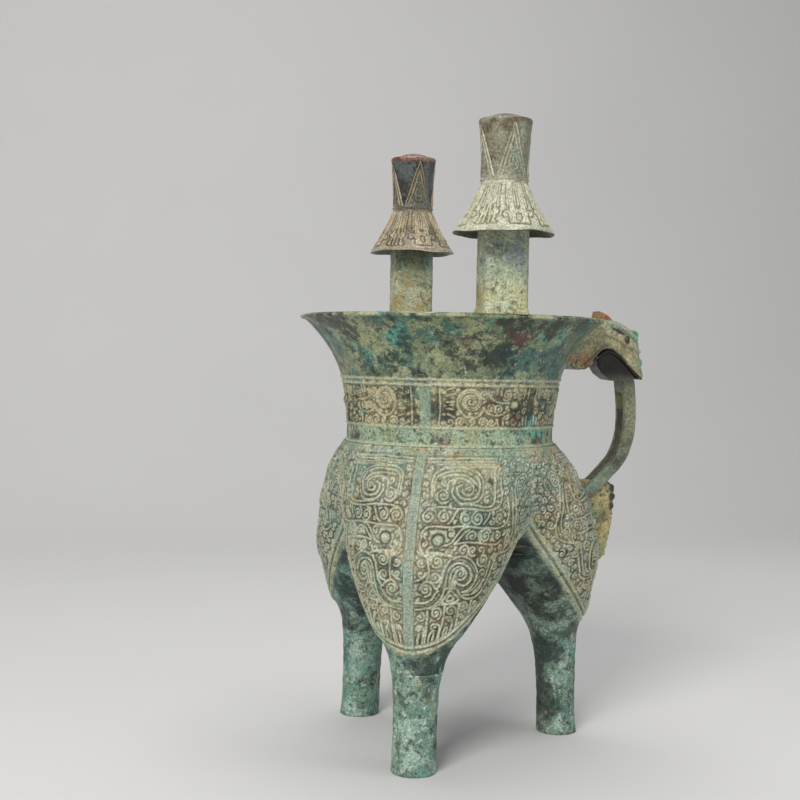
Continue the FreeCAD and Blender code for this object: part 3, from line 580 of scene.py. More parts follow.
# Half of the mask, in millimetres from the middle of the rib and above the ground: strokes, then spirals as
# place, radius, angle where the thread ends and the side it winds to
mask_strokes = [
    [(50.5, 189), (48, 186), (48.5, 180), (49.5, 172.5), (50, 166.5), (48, 164.5), (43, 164), (36, 165),
     (28, 165.5)],
    [(52.5, 184), (53, 177.5), (55, 170), (54.5, 164.5), (50, 162.5), (42.5, 162), (31.5, 163), (16.5, 164),
     (9.5, 163)],
    [(6, 145), (6.5, 148.5), (8.5, 151.5), (12, 152.5), (22, 152.5), (33.5, 153), (44, 152), (54.5, 151),
     (60.5, 152), (64, 155.5), (64, 161.5), (61.5, 166.5), (60, 169.5)],
    [(6, 145), (6, 141.5), (8, 138), (10.5, 135.5), (12, 136.5), (11, 139), (12, 140.5), (14.5, 141.5),
     (16.5, 141)],
    [(18.5, 142), (22.5, 142.5), (25, 144), (27.5, 147.5), (30.5, 151.5), (33.5, 152.5)],
    [(27, 143), (30, 146.5), (32.5, 149.5), (35, 151)],
    [(27, 143), (34.5, 143.5), (42, 143), (53, 141.5), (57, 141.5), (60, 143.5)],
    [(41.5, 147.5), (43.5, 150.5), (47.5, 151)],
    [(42, 147), (43.5, 143.5)],
    [(21.5, 154.5), (23.5, 156.5), (25.5, 160.5), (26.5, 162)],
    [(44.5, 154.5), (47, 158), (47.5, 161)],
    [(29, 157.5), (29.5, 160.5), (32, 161.5)],
    [(12, 138), (14.5, 137.5), (17.5, 138), (21, 137), (23.5, 136), (26, 135.5)],
    [(3, 198), (22.5, 198.5), (45, 198.5)],
    [(4.5, 192), (24, 192.5), (47.5, 192)],
    [(5, 190), (24, 190.5), (47.5, 190.5)],
    [(10, 188.5), (24.5, 189), (47.5, 188.5)],
    [(15, 187), (30, 187.5), (47.5, 187)],
    [(10, 170), (9.5, 175.5), (9.5, 180.5), (10.5, 184), (15, 186), (21.5, 187), (28, 186.5), (35, 185),
     (39.5, 181.5), (41.5, 177), (41.5, 171.5), (39, 167.5), (34.5, 166), (27.5, 166.5), (24, 169), (22, 172.5),
     (22.5, 175.5)],
    [(12, 169.5), (11, 174.5), (11, 179), (12.5, 182.5), (17.5, 184.5), (24, 185), (31, 184), (36, 181.5),
     (38.5, 177.5), (38.5, 172.5), (36.5, 169.5), (32, 168.5), (27.5, 169.5), (25, 172.5), (25, 175.5),
     (27.5, 177)],
    [(19, 174.5), (19.5, 178.5), (22.5, 180), (27, 180.5), (31.5, 179), (34.5, 176), (34.5, 172.5), (32, 171),
     (29, 172), (28.5, 174)],
    [(15, 181.5), (19, 182.5), (23.5, 182.5), (29, 182), (33.5, 180), (36.5, 177)],
    [(62.5, 175), (67.5, 161), (71, 151), (71, 144.5), (66.5, 139.5), (61.5, 135.5), (55, 135.5), (53, 129.5),
     (50.5, 122.5), (46.5, 117), (42, 113.5)],
    [(65.5, 174), (71, 161), (75, 150.5), (75.5, 143.5), (71.5, 137.5), (59.5, 134.5), (56.5, 127.5), (53, 120.5),
     (49, 115)],
    [(5, 139), (7, 136.5), (11, 134.5), (12, 129), (11.5, 122)],
    [(11, 134.5), (10.5, 137.5), (11, 139.5)],
    [(14, 138), (19, 137.5), (23, 136), (25.5, 136.5)],
    [(12.5, 133.5), (13, 135.5), (15.5, 137)],
    [(25, 133.5), (22, 129.5), (20.5, 125), (19.5, 120), (17, 116.5), (15.5, 118.5), (13, 120.5), (10.5, 120.5),
     (8, 118.5), (7, 115.5)],
    [(19.5, 124), (20, 122.5)],
    [(4.5, 121), (7.5, 122), (9.5, 124)],
    [(3.5, 108), (10, 108), (14, 110), (16, 113), (18, 115.5)],
    [(3.5, 103.5), (7.5, 104), (13, 105), (17, 107.5), (20, 111), (21.5, 115), (22.5, 117.5)],
    [(13.5, 104), (17, 106), (22.5, 106.5), (31.5, 107.5)],
    [(27, 134), (30, 135.5), (35, 135), (40, 132), (43, 126.5), (42, 120.5), (38.5, 116), (34, 114.5)],
    [(22.5, 117.5), (23, 122.5), (24.5, 128), (27.5, 131), (32, 131.5), (36.5, 129.5), (39, 125), (38.5, 121),
     (35, 118.5), (31.5, 119), (28.5, 121)],
    [(25, 117.5), (25.5, 123), (27, 127.5), (30, 129.5), (33.5, 128.5), (36, 125), (34, 122), (30.5, 122),
     (28.5, 124.5), (29.5, 127.5)],
    [(26.5, 117.5), (27.5, 122.5), (28, 124)],
    [(28.5, 121), (28, 117.5)],
    [(22, 117), (26, 117), (29, 117)],
    [(30, 116), (32.5, 112), (37.5, 109.5), (44.5, 110.5), (49.5, 114)],
    [(33, 114.5), (38, 114), (43, 116.5), (46, 120.5)],
    [(34, 112.5), (39.5, 112), (45, 114), (48, 117.5)],
    [(25.5, 116), (31, 109.5), (20.5, 107.5), (25.5, 116)],
    [(25.5, 113), (28, 110), (23, 109), (25.5, 113)],
    [(19, 107), (22, 117)],
    [(11.5, 103), (11, 97.5), (10, 88.5), (8.5, 78)],
    [(22, 105.5), (21.5, 98.5), (19, 90), (17.5, 81.5)],
    [(31.5, 107), (31, 99.5), (29.5, 93), (28.5, 87)],
    [(40, 108), (39.5, 100), (38, 95), (35.5, 90.5)],
    [(6.5, 90.5), (7.5, 92), (6.5, 93.5), (5, 92.5), (4.5, 91)],
    [(7, 93.5), (9, 92.5), (8.5, 86.5), (7, 80), (5.5, 78.5), (5, 80.5), (5.5, 86), (6, 88.5)],
    [(17, 95.5), (19, 93), (18, 87.5), (15.5, 82)],
    [(11.5, 81.5), (12, 86.5), (13.5, 90), (15, 89.5), (14.5, 85.5), (12, 80.5)],
    [(25, 98), (27, 96), (26.5, 91.5), (25.5, 85.5)],
    [(20.5, 85), (21.5, 89.5), (23, 92.5), (24, 91.5), (23, 88), (21, 84.5)],
    [(34, 99.5), (36, 97.5), (35.5, 93), (33, 89.5)],
    [(29.5, 88.5), (30.5, 92.5), (32, 95), (33, 93), (31, 89)],
    [(43.5, 102), (46, 99.5), (43.5, 96), (41, 93.5)],
]
mask_curls = [
    (10, 158.5, 4.4, 90, 1), (19, 158.5, 3.7, -90, 1), (32, 157.5, 3.8, 110, -1), (40, 157.5, 4.1, 60, 1),
    (56, 157.5, 3.2, -120, -1), (58, 172.5, 2.9, -60, -1), (59.5, 164.5, 3.2, -30, 1), (16.5, 170.5, 4.7, 150, -1),
    (16.5, 178.5, 2.5, -150, -1), (7, 195, 1.9, 0, 1), (5, 182.5, 1.9, 90, 1), (6, 177, 1.9, -90, -1),
    (7, 171, 2, 90, 1), (43.5, 181.5, 2.1, 90, 1), (45, 176.5, 2, -90, -1), (45, 172.5, 1.7, 90, -1),
    (45, 168, 2.4, 180, 1), (37.5, 147.5, 3.5, 100, -1), (47, 147, 4.4, 90, 1), (56.5, 146.5, 2.7, -90, -1),
    (67, 143.5, 3.8, 90, -1), (67, 148.5, 2.4, -90, 1), (33, 139, 3.7, 100, 1), (39, 138.5, 3.3, -90, -1),
    (23.5, 138.5, 2.7, 180, -1), (45, 138.5, 2.5, 90, 1), (51.5, 138.5, 2.3, 0, -1), (57.5, 133.5, 2.6, 150, -1),
    (70, 177.5, 5.6, 120, 1), (69.5, 166, 2.8, 90, 1), (72.5, 160.5, 2.5, -90, -1), (74, 155, 3.4, 90, -1),
    (79.5, 148.5, 3.4, -90, 1), (7.5, 131.5, 2.7, 110, -1), (7.5, 125, 2.7, 180, -1), (17, 132.5, 4.5, 150, 1),
    (16, 123.5, 3.4, -20, 1), (10.5, 115.5, 4, 180, 1), (32, 125.5, 3.1, -150, -1), (47, 133, 4.2, 150, 1),
    (47.5, 125, 2.7, -30, -1), (59.5, 128.5, 2.9, 90, 1), (61, 122, 2.8, -90, -1), (56, 119, 2.6, 90, 1),
    (52.5, 113, 2.6, -90, -1), (52, 106, 3.1, 90, 1), (7, 99, 3, 120, -1), (16.5, 101.5, 3.8, 150, 1),
    (26, 102.5, 3.7, 150, 1), (34.5, 104.5, 3.7, 160, 1), (43, 106, 3.3, 170, 1), (6, 92, 1.7, 60, 1),
    (15.5, 93.5, 2.7, 70, -1), (25, 97, 2.3, 80, -1), (33.5, 98, 2.4, 80, -1), (42.5, 101, 2.6, 80, -1),
]


def leg_row(rows, drop):
    """The rows' values that share of the way down, on a smooth curve through the rows."""
    drop = np.clip(np.asarray(drop, float), 0, 1)
    k = np.clip(np.searchsorted(rows[:, 0], drop, side="right") - 1, 0, len(rows) - 2)
    low, high = rows[k], rows[k + 1]
    before, after = rows[np.maximum(k - 1, 0)], rows[np.minimum(k + 2, len(rows) - 1)]
    gap = (high[..., 0] - low[..., 0])[..., None]
    t = ((drop - low[..., 0]) / gap[..., 0])[..., None]
    enter = (high - before) / (high - before)[..., :1] * gap
    leave = (after - low) / (after - low)[..., :1] * gap
    return (low * (1 + 2 * t) * (1 - t) ** 2 + high * t * t * (3 - 2 * t)
            + enter * t * (1 - t) ** 2 - leave * t * t * (1 - t))


def pouch_row(z):
    """Centre, half width and back depth of a leg's section."""
    row = leg_row(pouch_rows, (shoulder - np.asarray(z, float)) / (shoulder - knee))
    width = 13.75 + 55.25 * row[..., 1]
    return 80 * row[..., 2], width, width * row[..., 3]


def leg_gap(x, y, z, angle):
    """How far a point lies outside the leg that stands at that angle."""
    across, along = -x * sin(angle) + y * cos(angle), x * cos(angle) + y * sin(angle)
    centre, width, back = pouch_row(z)
    out = along - centre
    return np.hypot(np.where(out > 0, out, out * width / back), across) - width


def body_gap(x, y, z):
    """How far a point lies outside the three legs, which join with soft valleys."""
    centre, width, _ = pouch_row(z)
    soft = 15 * np.clip(1.9 * centre / width, 0.03, 1)
    total = leg_gap(x, y, z, 0.0)
    for angle in (2 * pi / 3, -2 * pi / 3):
        other = leg_gap(x, y, z, angle)
        near = np.maximum(soft - abs(total - other), 0) / soft
        total = np.minimum(total, other) - near * near * soft / 4
    return total


def seam_roots(z):
    """Where the valley between two legs crosses their common plane: outermost and innermost distance."""
    r = np.linspace(0, 95, 1901)
    inside = body_gap(r * cos(pi / 3), r * sin(pi / 3), np.full_like(r, z)) < 0
    hits = np.nonzero(inside)[0]
    return (r[hits[-1]], r[hits[0]]) if len(hits) else None


def rim_of_leg(phi, z):
    """The leg's outline at angles round its own centre."""
    centre = pouch_row(z)[0]
    low, high = np.zeros_like(phi), np.full_like(phi, 95.0)
    for _ in range(22):
        middle = (low + high) / 2
        inside = body_gap(centre + middle * np.cos(phi), middle * np.sin(phi), z) < 0
        low, high = np.where(inside, middle, low), np.where(inside, high, middle)
    return centre + low * np.cos(phi), low * np.sin(phi)


def inwards(points, depth):
    """The points moved into the wall, square to the body's face."""
    x, y, z = np.moveaxis(points, -1, 0)
    slope = np.stack([body_gap(x + 0.2, y, z) - body_gap(x - 0.2, y, z),
                      body_gap(x, y + 0.2, z) - body_gap(x, y - 0.2, z),
                      body_gap(x, y, z + 0.2) - body_gap(x, y, z - 0.2)], -1)
    return points - depth * slope / np.linalg.norm(slope, axis=-1, keepdims=True)


def pouch_shell(step, across, behind, thin):
    """The hollow leg on +X, its third of the body: points, smooth faces, flat faces, distance from the rib along
    its face and which points are outside."""
    heights = np.linspace(knee, shoulder, int((shoulder - knee) / step) + 1)
    seam = []
    for z in heights:
        roots = seam_roots(z)
        seam.append(None if roots is None else [
            atan2(r * sin(pi / 3), r * cos(pi / 3) - float(pouch_row(z)[0])) for r in roots])
    fork = min(k for k, pair in enumerate(seam) if pair)
    top = next(k for k in range(fork, len(seam)) if seam[k][1] > pi - 0.02)
    merged = seam[fork][0]
    ends = np.array([pair[0] if pair else merged for pair in seam])
    phi = ends[:, None] * np.linspace(-1, 1, across)[None, :]
    z = np.repeat(heights[:, None], across, 1)
    front = np.stack([*rim_of_leg(phi, z), z], 2)
    starts = [min(pair[1], pi) if pair else merged for pair in seam[:top + 1]]
    phi = np.array([np.linspace(a, 2 * pi - a, behind) for a in starts])
    z = np.repeat(heights[:top + 1, None], behind, 1)
    back = np.stack([*rim_of_leg(phi, z), z], 2)
    back[-1, :, :2] = 0
    floor = int(np.searchsorted(heights, knee + hollow_floor))
    inner_front, inner_back = inwards(front[floor:, ::thin], wall), inwards(back[floor:, ::thin], wall)
    inner_back[-1] = (0, 0, heights[top] + wall)
    blocks = [front, back, inner_front, inner_back]
    first = np.cumsum([0] + [block.shape[0] * block.shape[1] for block in blocks])
    f, b, fi, bi = [first[k] + np.arange(first[k + 1] - first[k]).reshape(blocks[k].shape[:2]) for k in range(4)]
    faces = []
    for k, block in enumerate(blocks):
        faces += grid_faces(*block.shape[:2], False, first[k], flip=k > 1)
    flat_faces = [[*f[-1, k * thin:(k + 1) * thin + 1], fi[-1, k + 1], fi[-1, k]] for k in range(fi.shape[1] - 1)]
    for outer, inner, end in ((f, fi, len(heights) - 1), (b, bi, top)):
        for k in range(fork - 1, end):
            flat_faces.append([outer[k, -1], inner[k - floor, -1], inner[k + 1 - floor, -1], outer[k + 1, -1]])
            flat_faces.append([outer[k + 1, 0], inner[k + 1 - floor, 0], inner[k - floor, 0], outer[k, 0]])
    flat_faces.append([*f[0, ::-1], *b[0, -2:0:-1]])
    flat_faces.append([*fi[0], *bi[0, 1:-1]])
    arc = np.hypot(*np.moveaxis(np.diff(front[..., :2], axis=1), -1, 0)).cumsum(1)
    arc = np.hstack([np.zeros((len(heights), 1)), arc])
    u = np.full(first[-1], 200.0)
    u[:first[1]] = abs(arc - arc[:, across // 2][:, None]).reshape(-1)
    flat_faces = [[int(i) for i in face] for face in flat_faces]
    return np.vstack([block.reshape(-1, 3) for block in blocks]), faces, flat_faces, u, np.arange(len(u)) < first[2]


def about_axis(points, angle):
    """The points turned that far round the vessel's axis."""
    return points @ np.array([[cos(angle), sin(angle), 0], [-sin(angle), cos(angle), 0], [0, 0, 1]])


points, faces, flat_faces, u, outer = pouch_shell(0.55, 281, 41, 8)
v, reach = points[:, 2], points[:, 0]
border = 0.645 * (v - 148.7) + 0.764 * (reach - 32.5)
double_line = np.exp(-((border - 0.65) / 0.72) ** 2) + np.exp(-((border - 4.2) / 0.72) ** 2)
double_line = double_line * step_up(v, 152, 147) * (u < 190)
rib = step_up(u, 3.2, 2.6) * step_up(v, 72, 76) * step_up(v, 196, 194)
rib_lines = np.exp(-((u - 2.5) / 0.42) ** 2) * step_up(v, 72, 76) * step_up(v, 196, 194)
eye = np.hypot(u - mask_eye[0], v - mask_eye[1])
raised = double_line * 0.95 + rib * 0.5 + rib_lines * 0.65 + dome(eye, 2.7) * 0.95
pattern = (step_up(border, 5.2, 6.2) * step_up(v, 195, 193.5) * step_up(u, 3.1, 3.8) * step_up(eye, 4.4, 5.0)
           * (u < 190))
# Painted shade, stored as dent and stained near-black: a ring round each eye boss, the groove between the border's two
# lines and a line beside the rib.
dent = np.maximum(np.exp(-((eye - 3.7) / 0.9) ** 2),
                  np.exp(-((border - 2.45) / 0.8) ** 2) * step_up(v, 152, 147) * (u < 190) * 0.8)
# Below and inside the border the legs turn down and in towards the valleys: the under stain paints a patchy near-black
# shade there, and the shade value darkens it more towards the axis and inside the hollow leg.
under = step_up(border, 0, -4) * outer
below = np.maximum(step_up(v, 84, 64), under * (1 - np.clip(double_line, 0, 1)))
dent = np.maximum(dent, np.exp(-((u - 3.3) / 0.4) ** 2) * step_up(v, 74, 78) * step_up(v, 195, 193) * 0.7)
shade = np.where(outer, step_up(reach, 80, 60) * under * 0.3 + step_up(reach, 60, 30) * under * 0.45, 0.85)
row_of = {round(float(v[k]), 3): k for k in range(len(v)) if outer[k] and u[k] == 0}
heights = np.array(sorted(row_of))


def on_mask(x, y, size):
    """Whether a small spiral there lies inside the mask's border."""
    if not 76 < y < 193 - size or x < 4.2 + size:
        return False
    start = row_of[heights[np.argmin(abs(heights - y))]]
    line = slice(start, start + 141)
    return x < u[line][-1] - 0.5 and np.interp(x, u[line], border[line]) > 7 + size


mask_curls += small_curls(
    mask_strokes, mask_curls + [(*mask_eye, 5.0)], (5, 92), (77, 193), on_mask, (2.6, 2.0, 1.4))
mask_threads = thread_object("mask_threads", mask_strokes, mask_curls, 2.1)
horn = oval(26, 175, 15, 10)
brow = [(5, 154), (9, 163), (31, 163.5), (46, 161.5), (50, 165), (49, 180), (53, 180), (58, 166), (55, 154),
        (45, 151.5), (24, 152.5), (9, 151.5)]
jaw = [(4, 108), (4, 104), (12, 105), (19, 109), (22, 117), (23.5, 126), (28, 131), (34, 131.5), (39, 126),
       (38, 120), (33, 118.5), (29.5, 122.5), (32, 126), (29, 127), (26.5, 122), (27.5, 115.5), (33.5, 113),
       (42, 117), (43.5, 127), (37, 136), (27, 135.5), (21, 128), (17.5, 117), (13, 109.5)]
mask_forms = flat_plates("mask_forms", [horn, brow, jaw])
lower_patina = ("6F8F80", "88A692"), [
    ("B2CBBA", 60, 2.0, 0.535, 0.04, 0.8), ("44574A", 48, 9.0, 0.55, 0.04, 0.8),
    ("9C9C74", 70, 4.0, 0.59, 0.04, 0.7), ("62A090", 40, 15.0, 0.58, 0.04, 0.55),
    ("2C362C", 180, 27.0, 0.565, 0.03, 0.75), ("D3E0D0", 230, 33.0, 0.59, 0.03, 0.7)]
# The dark stain paints shade over the lower part of the handle's leg and foot, the side turned from the light; teal is
# the back leg's greener patina.
lower_stains = [("teal", "4F9482", 0.5, 34), ("dark", "22302A", 0.75, 26)]
relief_finish = bronze("patina_relief", ("A9B092", "C2C5A2"), [
    ("CBD2BA", 40, 2.0, 0.52, 0.05, 0.8), ("B3A57C", 32, 9.0, 0.56, 0.04, 0.75),
    ("7FA795", 26, 4.0, 0.545, 0.05, 0.75), ("5F6650", 70, 15.0, 0.585, 0.03, 0.7),
    ("8F9BA0", 36, 22.0, 0.60, 0.05, 0.6), ("3B3D2E", 210, 27.0, 0.575, 0.03, 0.65)],
    relief=("DDDCC2", "CDBE92", "35352A", "5A3A28"), rough=(0.66, 0.48), depth=0.35, fade_height=0.158,
    zones=[("tan_side", "B3A374", 0.8, 34), ("teal_side", "6E9686", 0.85, 26)], lower=lower_patina,
    stains=[*lower_stains, ("under", "1B2723", 0.8, 28), ("dent", "1E221A", 0.9, 0), ("eye", "CBD0B4", 0.85, 0),
            ("rib", "93A797", 0.7, 0), ("edge_line", "CFCFAE", 0.7, 0)])
for side, angle in leg_turns.items():
    mesh = solid_mesh("pouch", about_axis(points, angle), faces, flat_faces, flat=np.stack([u, v, 0 * v], 1),
                      **{"patterned": pattern, "raise": raised, "dent": dent, "under": under, "shade": shade, "rib": rib,
                          "eye": step_up(eye, 3.0, 2.4), "edge_line": np.maximum(double_line, rib_lines * 0.6),
                          "lower": below, "teal": below * float(side == "back"),
                          "dark": below * float(side == "handle"),
                          "tan_side": float(side == "handle") * step_up(border, -1, 3),
                          "teal_side": float(side == "back") * step_up(border, -1, 3)})
    cast_piece("pouch_" + side, mesh, relief_finish, "pouch_leg_" + side, mask_threads, mask_forms,
               width=0.6, height=0.75, form=0.6)


# The three column feet: solid-looking castings round a clay core, with a plain speckled skin, a little uneven.
# Each enters the socket under its pouch with a short spigot.
foot_columns, spigot_radius, spigot_top = 132, 7.9, 69.6
foot_angles = np.arange(foot_columns) * 2 * pi / foot_columns
foot_rows = np.array([
    (0.00, 0.000, 0.960, 0.86), (0.11, 0.000, 0.972, 0.89), (0.29, 0.000, 0.984, 0.92), (0.67, 0.000, 0.989, 0.86),
    (0.95, 0.003, 1.003, 0.93), (1.00, 0.006, 1.010, 0.95)])


def closed_bar(rings):
    """A bar's points from its rings, upwards and anticlockwise, its smooth sides and its two flat ends."""
    rings = np.array(rings)
    count, columns = rings.shape[:2]
    ends = [list(range(columns - 1, -1, -1)), list(range((count - 1) * columns, count * columns))]
    return rings, grid_faces(count, columns, True), ends


def foot_outline(z):
    """One ring of a foot's outer face at a height."""
    drop = 1 - z / knee
    row = leg_row(foot_rows, drop)
    width = 13.75 + 55.25 * (row[1] + 0.045 * (1 - drop) ** 6)
    out = np.where(np.cos(foot_angles) > 0, width, width * row[3]) * np.cos(foot_angles)
    return np.stack([80 * row[2] + out, width * np.sin(foot_angles), np.full(foot_columns, z)], 1)


rings = [foot_outline(z) for z in [0, 0.15, 0.6, 1.2, *np.arange(2, 61.9, 0.9), knee]]
centre = rings[0].mean(0)
for k, share in ((0, 0.955), (1, 0.98)):
    rings[k] = centre + (rings[k] - centre) * (share, share, 1)
spigot_x, spigot_y = rings[-1].mean(0)[0] + spigot_radius * np.cos(foot_angles), spigot_radius * np.sin(foot_angles)
rings += [np.stack([spigot_x, spigot_y, np.full(foot_columns, z)], 1) for z in (knee, spigot_top)]
foot_points, foot_faces, foot_ends = closed_bar(rings)
inner_side = step_up(foot_points[..., 0], 80, 60) * 0.3
foot_finish = bronze("patina_foot", *lower_patina, rough=(0.66, 0.5), depth=0.45,
                     stains=lower_stains)
for side, angle in leg_turns.items():
    # Painted shade: the dark stain covers the whole of the handle's foot, the side turned from the light, and the shade
    # value darkens each foot's inner side.
    mesh = solid_mesh("foot", about_axis(foot_points, angle), foot_faces, foot_ends, shade=inner_side,
                      teal=side == "back", dark=side == "handle")
    cast_piece("foot_" + side, mesh, foot_finish, "foot_" + side, rough=0.5)


# The two posts: square columns with rounded corners that sit astride the rim, spread at the foot and run down
# inside the mouth. Cast on after the neck; a tenon on top carries the cap.
post_x, post_columns, tenon_radius = 89, 180, 7.0


def post_ring(grow, z, sides=14):
    """A rounded oblong that grows towards the axis and sideways, its outer face kept in line."""
    outer, inner, half, corner = 99.0, 79.0 - grow, 14.25 + grow, 4.5
    ring = []
    for x, y, start in ((outer, half, 0), (inner, half, 1), (inner, -half, 2), (outer, -half, 3)):
        cx, cy = x - corner * (1 if x == outer else -1), y - corner * (1 if y > 0 else -1)
        ring += [(cx + corner * cos((start + k / sides) * pi / 2), cy + corner * sin((start + k / sides) * pi / 2))
                 for k in range(sides + 1)]
    ring = np.array(ring + ring[:1])
    far = np.hypot(*np.diff(ring, axis=0).T)
    place = np.concatenate([[0], far.cumsum()])
    even = np.linspace(0, place[-1], post_columns + 1)[:-1]
    return np.stack([*(np.interp(even, place, side) for side in ring.T), np.full(post_columns, z)], 1)


grown = [(262, 5.2), (266, 4.85), (270, 4.4), (274, 3.85), (277.4, 3.38), (279, 2.4), (280, 1.85), (281.56, 0.91),
         (284.2, 0.0)]
rings = []
for z in np.concatenate([np.arange(262, 280, 1.0), [280, 280.02], np.arange(281, 346.9, 0.9), [347]]):
    ring = post_ring(np.interp(z, *zip(*grown)), z)
    if z <= 280:
        radius = np.hypot(ring[:, 0], ring[:, 1])
        limit = neck_radius(z) - neck_wall * hypot(1, 96 * ((z - 198) / 82) ** 2 / 82)
        ring[:, :2] *= np.minimum(1, limit / radius)[:, None]
    rings.append(ring)
turn = np.arctan2(rings[-1][:, 1], rings[-1][:, 0] - post_x)
tenon_x, tenon_y = post_x + tenon_radius * np.cos(turn), tenon_radius * np.sin(turn)
rings += [np.stack([tenon_x, tenon_y, np.full(post_columns, z)], 1) for z in (347, 359.5)]
post_points, post_faces, post_ends = closed_bar(rings)
post_height = post_points[..., 2]
shadow = step_up(post_height, 332, 345) * 0.35
post_finish = bronze("patina_post", ("97A28A", "B2BC9C"), [
    ("CDD2B2", 44, 2.0, 0.545, 0.05, 0.8), ("B0A26C", 34, 9.0, 0.575, 0.04, 0.75),
    ("55604E", 90, 15.0, 0.58, 0.04, 0.7), ("3A4034", 220, 27.0, 0.59, 0.03, 0.6)], rough=(0.6, 0.45), depth=0.35,
    zones=[("grey", "7E8B92", 0.8, 40), ("turquoise", "8CC0AE", 0.8, 40), ("cream", "C9C795", 0.85, 0),
           ("ochre", "C2A566", 0.8, 34)])
post_turns = {"front": radians(-87.8), "back": radians(92.2)}
for side, angle in post_turns.items():
    mesh = solid_mesh("post", about_axis(post_points, angle), post_faces, post_ends, shade=shadow,
                      cream=step_up(post_height, 306, 286),
                      grey=step_up(post_height, 300, 318) * (side == "front"),
                      turquoise=step_up(post_height, 345, 320) * (side == "back"),
                      ochre=step_up(post_height, 325, 300) * (side == "back"))
    cast_piece("post_" + side, mesh, post_finish, "post_" + side, rough=0.35)


# The two post caps: a waisted crown with four pointed leaves above a thin ring, over a flaring skirt with
# hanging lines. One hollow casting each, pressed on the post's tenon; the front one is pale, the back one dark.
crown_strokes = [
    [(0.2, 392), (2.2, 386), (5.0, 376), (9.6, 361.5)],
    [(0.0, 386.5), (1.8, 380.5), (4.2, 371), (7.2, 362)],
    [(1.6, 373), (2.6, 369), (2.0, 365.5), (0.2, 364.5)],
]
skirt_strokes = [[(x, 357), (x * 1.02, 345), (x * 0.98, low)] for x, low in (
    (0.8, 344), (2.4, 333), (3.5, 333), (4.6, 333), (6.2, 343), (12.0, 343), (13.6, 333), (14.8, 345), (16.2, 333))]
cap_curls = [(0.9, 377.5, 1.5, 90, 1), (1.3, 368.5, 1.4, 0, 1), (4.4, 363.6, 1.2, 90, 1),
             (1.6, 340, 2.3, 90, 1), (7.3, 338, 2.2, 90, -1), (13.2, 339.5, 2.3, 90, 1), (1.6, 334, 1.3, 0, 1),
             (13.2, 334, 1.3, 0, 1), (5.6, 354, 1.2, 90, 1)]
cap_threads = thread_object("cap_threads", crown_strokes + skirt_strokes, cap_curls, 1.9)
cap_columns, hidden_rows = 420, 34


def cap_outline():
    """Radius and height of the cap from the middle of its top down the outside and up its hollow underside."""
    rows = [(r, 395 + 5 * cos(r / 15.9 * pi / 2) ** 0.9 - 0.15) for r in (0.01, 2, 4, 6, 8, 10, 12, 13.6, 14.8)]
    rows += [(15.7, 396.2), (16.2, 395.4)]
    for z in np.arange(394.6, 361.2, -0.55):
        t = (395 - z) / 33
        rows.append((16.4 - 2.5 * (1 - (1 - min(t * 1.15, 1)) ** 2) + 0.35 * max(t - 0.8, 0) * 5, z))
    for z in np.arange(361, 328.3, -0.5):
        t = np.clip((359 - z) / 31, 0, 1)
        rows.append((13.95 + 16.6 * t ** 1.25 + 0.9 * exp(-((z - 360) / 0.8) ** 2), z))
    rows += [(30.6, 328.3), (30.4, 327.95), (29.6, 327.9), (28.9, 328.3)]
    for t in np.linspace(0.03, 1, 26):
        rows.append((28.9 - 12.4 * t - 3.6 * sin(pi * t), 328.3 + 18.7 * t ** 0.9))
    return rows + [(12, 347), (7.2, 347), (7.2, 360.2), (0.01, 360.2)]


outline = cap_outline()
angles = np.arange(cap_columns) * 2 * pi / cap_columns
radius, height = np.array(outline).T[..., None]
outside = (np.arange(len(outline)) < len(outline) - hidden_rows)[:, None]
wave = 0.45 * np.sin(3 * angles + 0.6)[None, :] + 0.25 * np.sin(7 * angles)[None, :]
edge = step_up(-height, -334, -328)
z = height + wave * edge
cap_points = np.stack([post_x + radius * np.cos(angles), radius * np.sin(angles), z], 2)
cap_faces = grid_faces(len(outline), cap_columns, True, flip=True)
folded = abs((angles + pi / 4) % (pi / 2) - pi / 4)[None, :]
u = folded * np.where(height > 360, 14.2, 22.0)
patterned = step_up(z, 361.3, 362) * step_up(z, 394.5, 392.5) + step_up(z, 358, 357) * step_up(z, 330, 331)
patterned = patterned * outside
in_leaf = (393 - z) * 0.33 - u
leaf = step_up(in_leaf, 0, 0.8) * (z > 361) * outside
leaf_line = sum(np.exp(-((in_leaf - k) / 0.34) ** 2) for k in (0.3, 2.6)) * (z > 361.5) * (z < 392) * outside
raised = outside * (0.35 * np.exp(-((z - 330.2) / 0.7) ** 2) - 0.12 * (1 - leaf) * (z > 361) * step_up(z, 396, 394))
raised = raised + 0.25 * leaf_line
crown = step_up(z, 357, 364) * outside
cap_fields = {
    "flat": np.stack([u, z, 0 * z], 2), "patterned": patterned, "raise": raised,
    "crown": crown * (1 - leaf * 0.35), "leaf": leaf, "leaf_line": leaf_line, "gloss": crown * (1 - leaf) * 0.8,
    "top": step_up(z, 391.5, 394.5) * outside, "shade": np.where(outside, 0 * z, 0.85)}
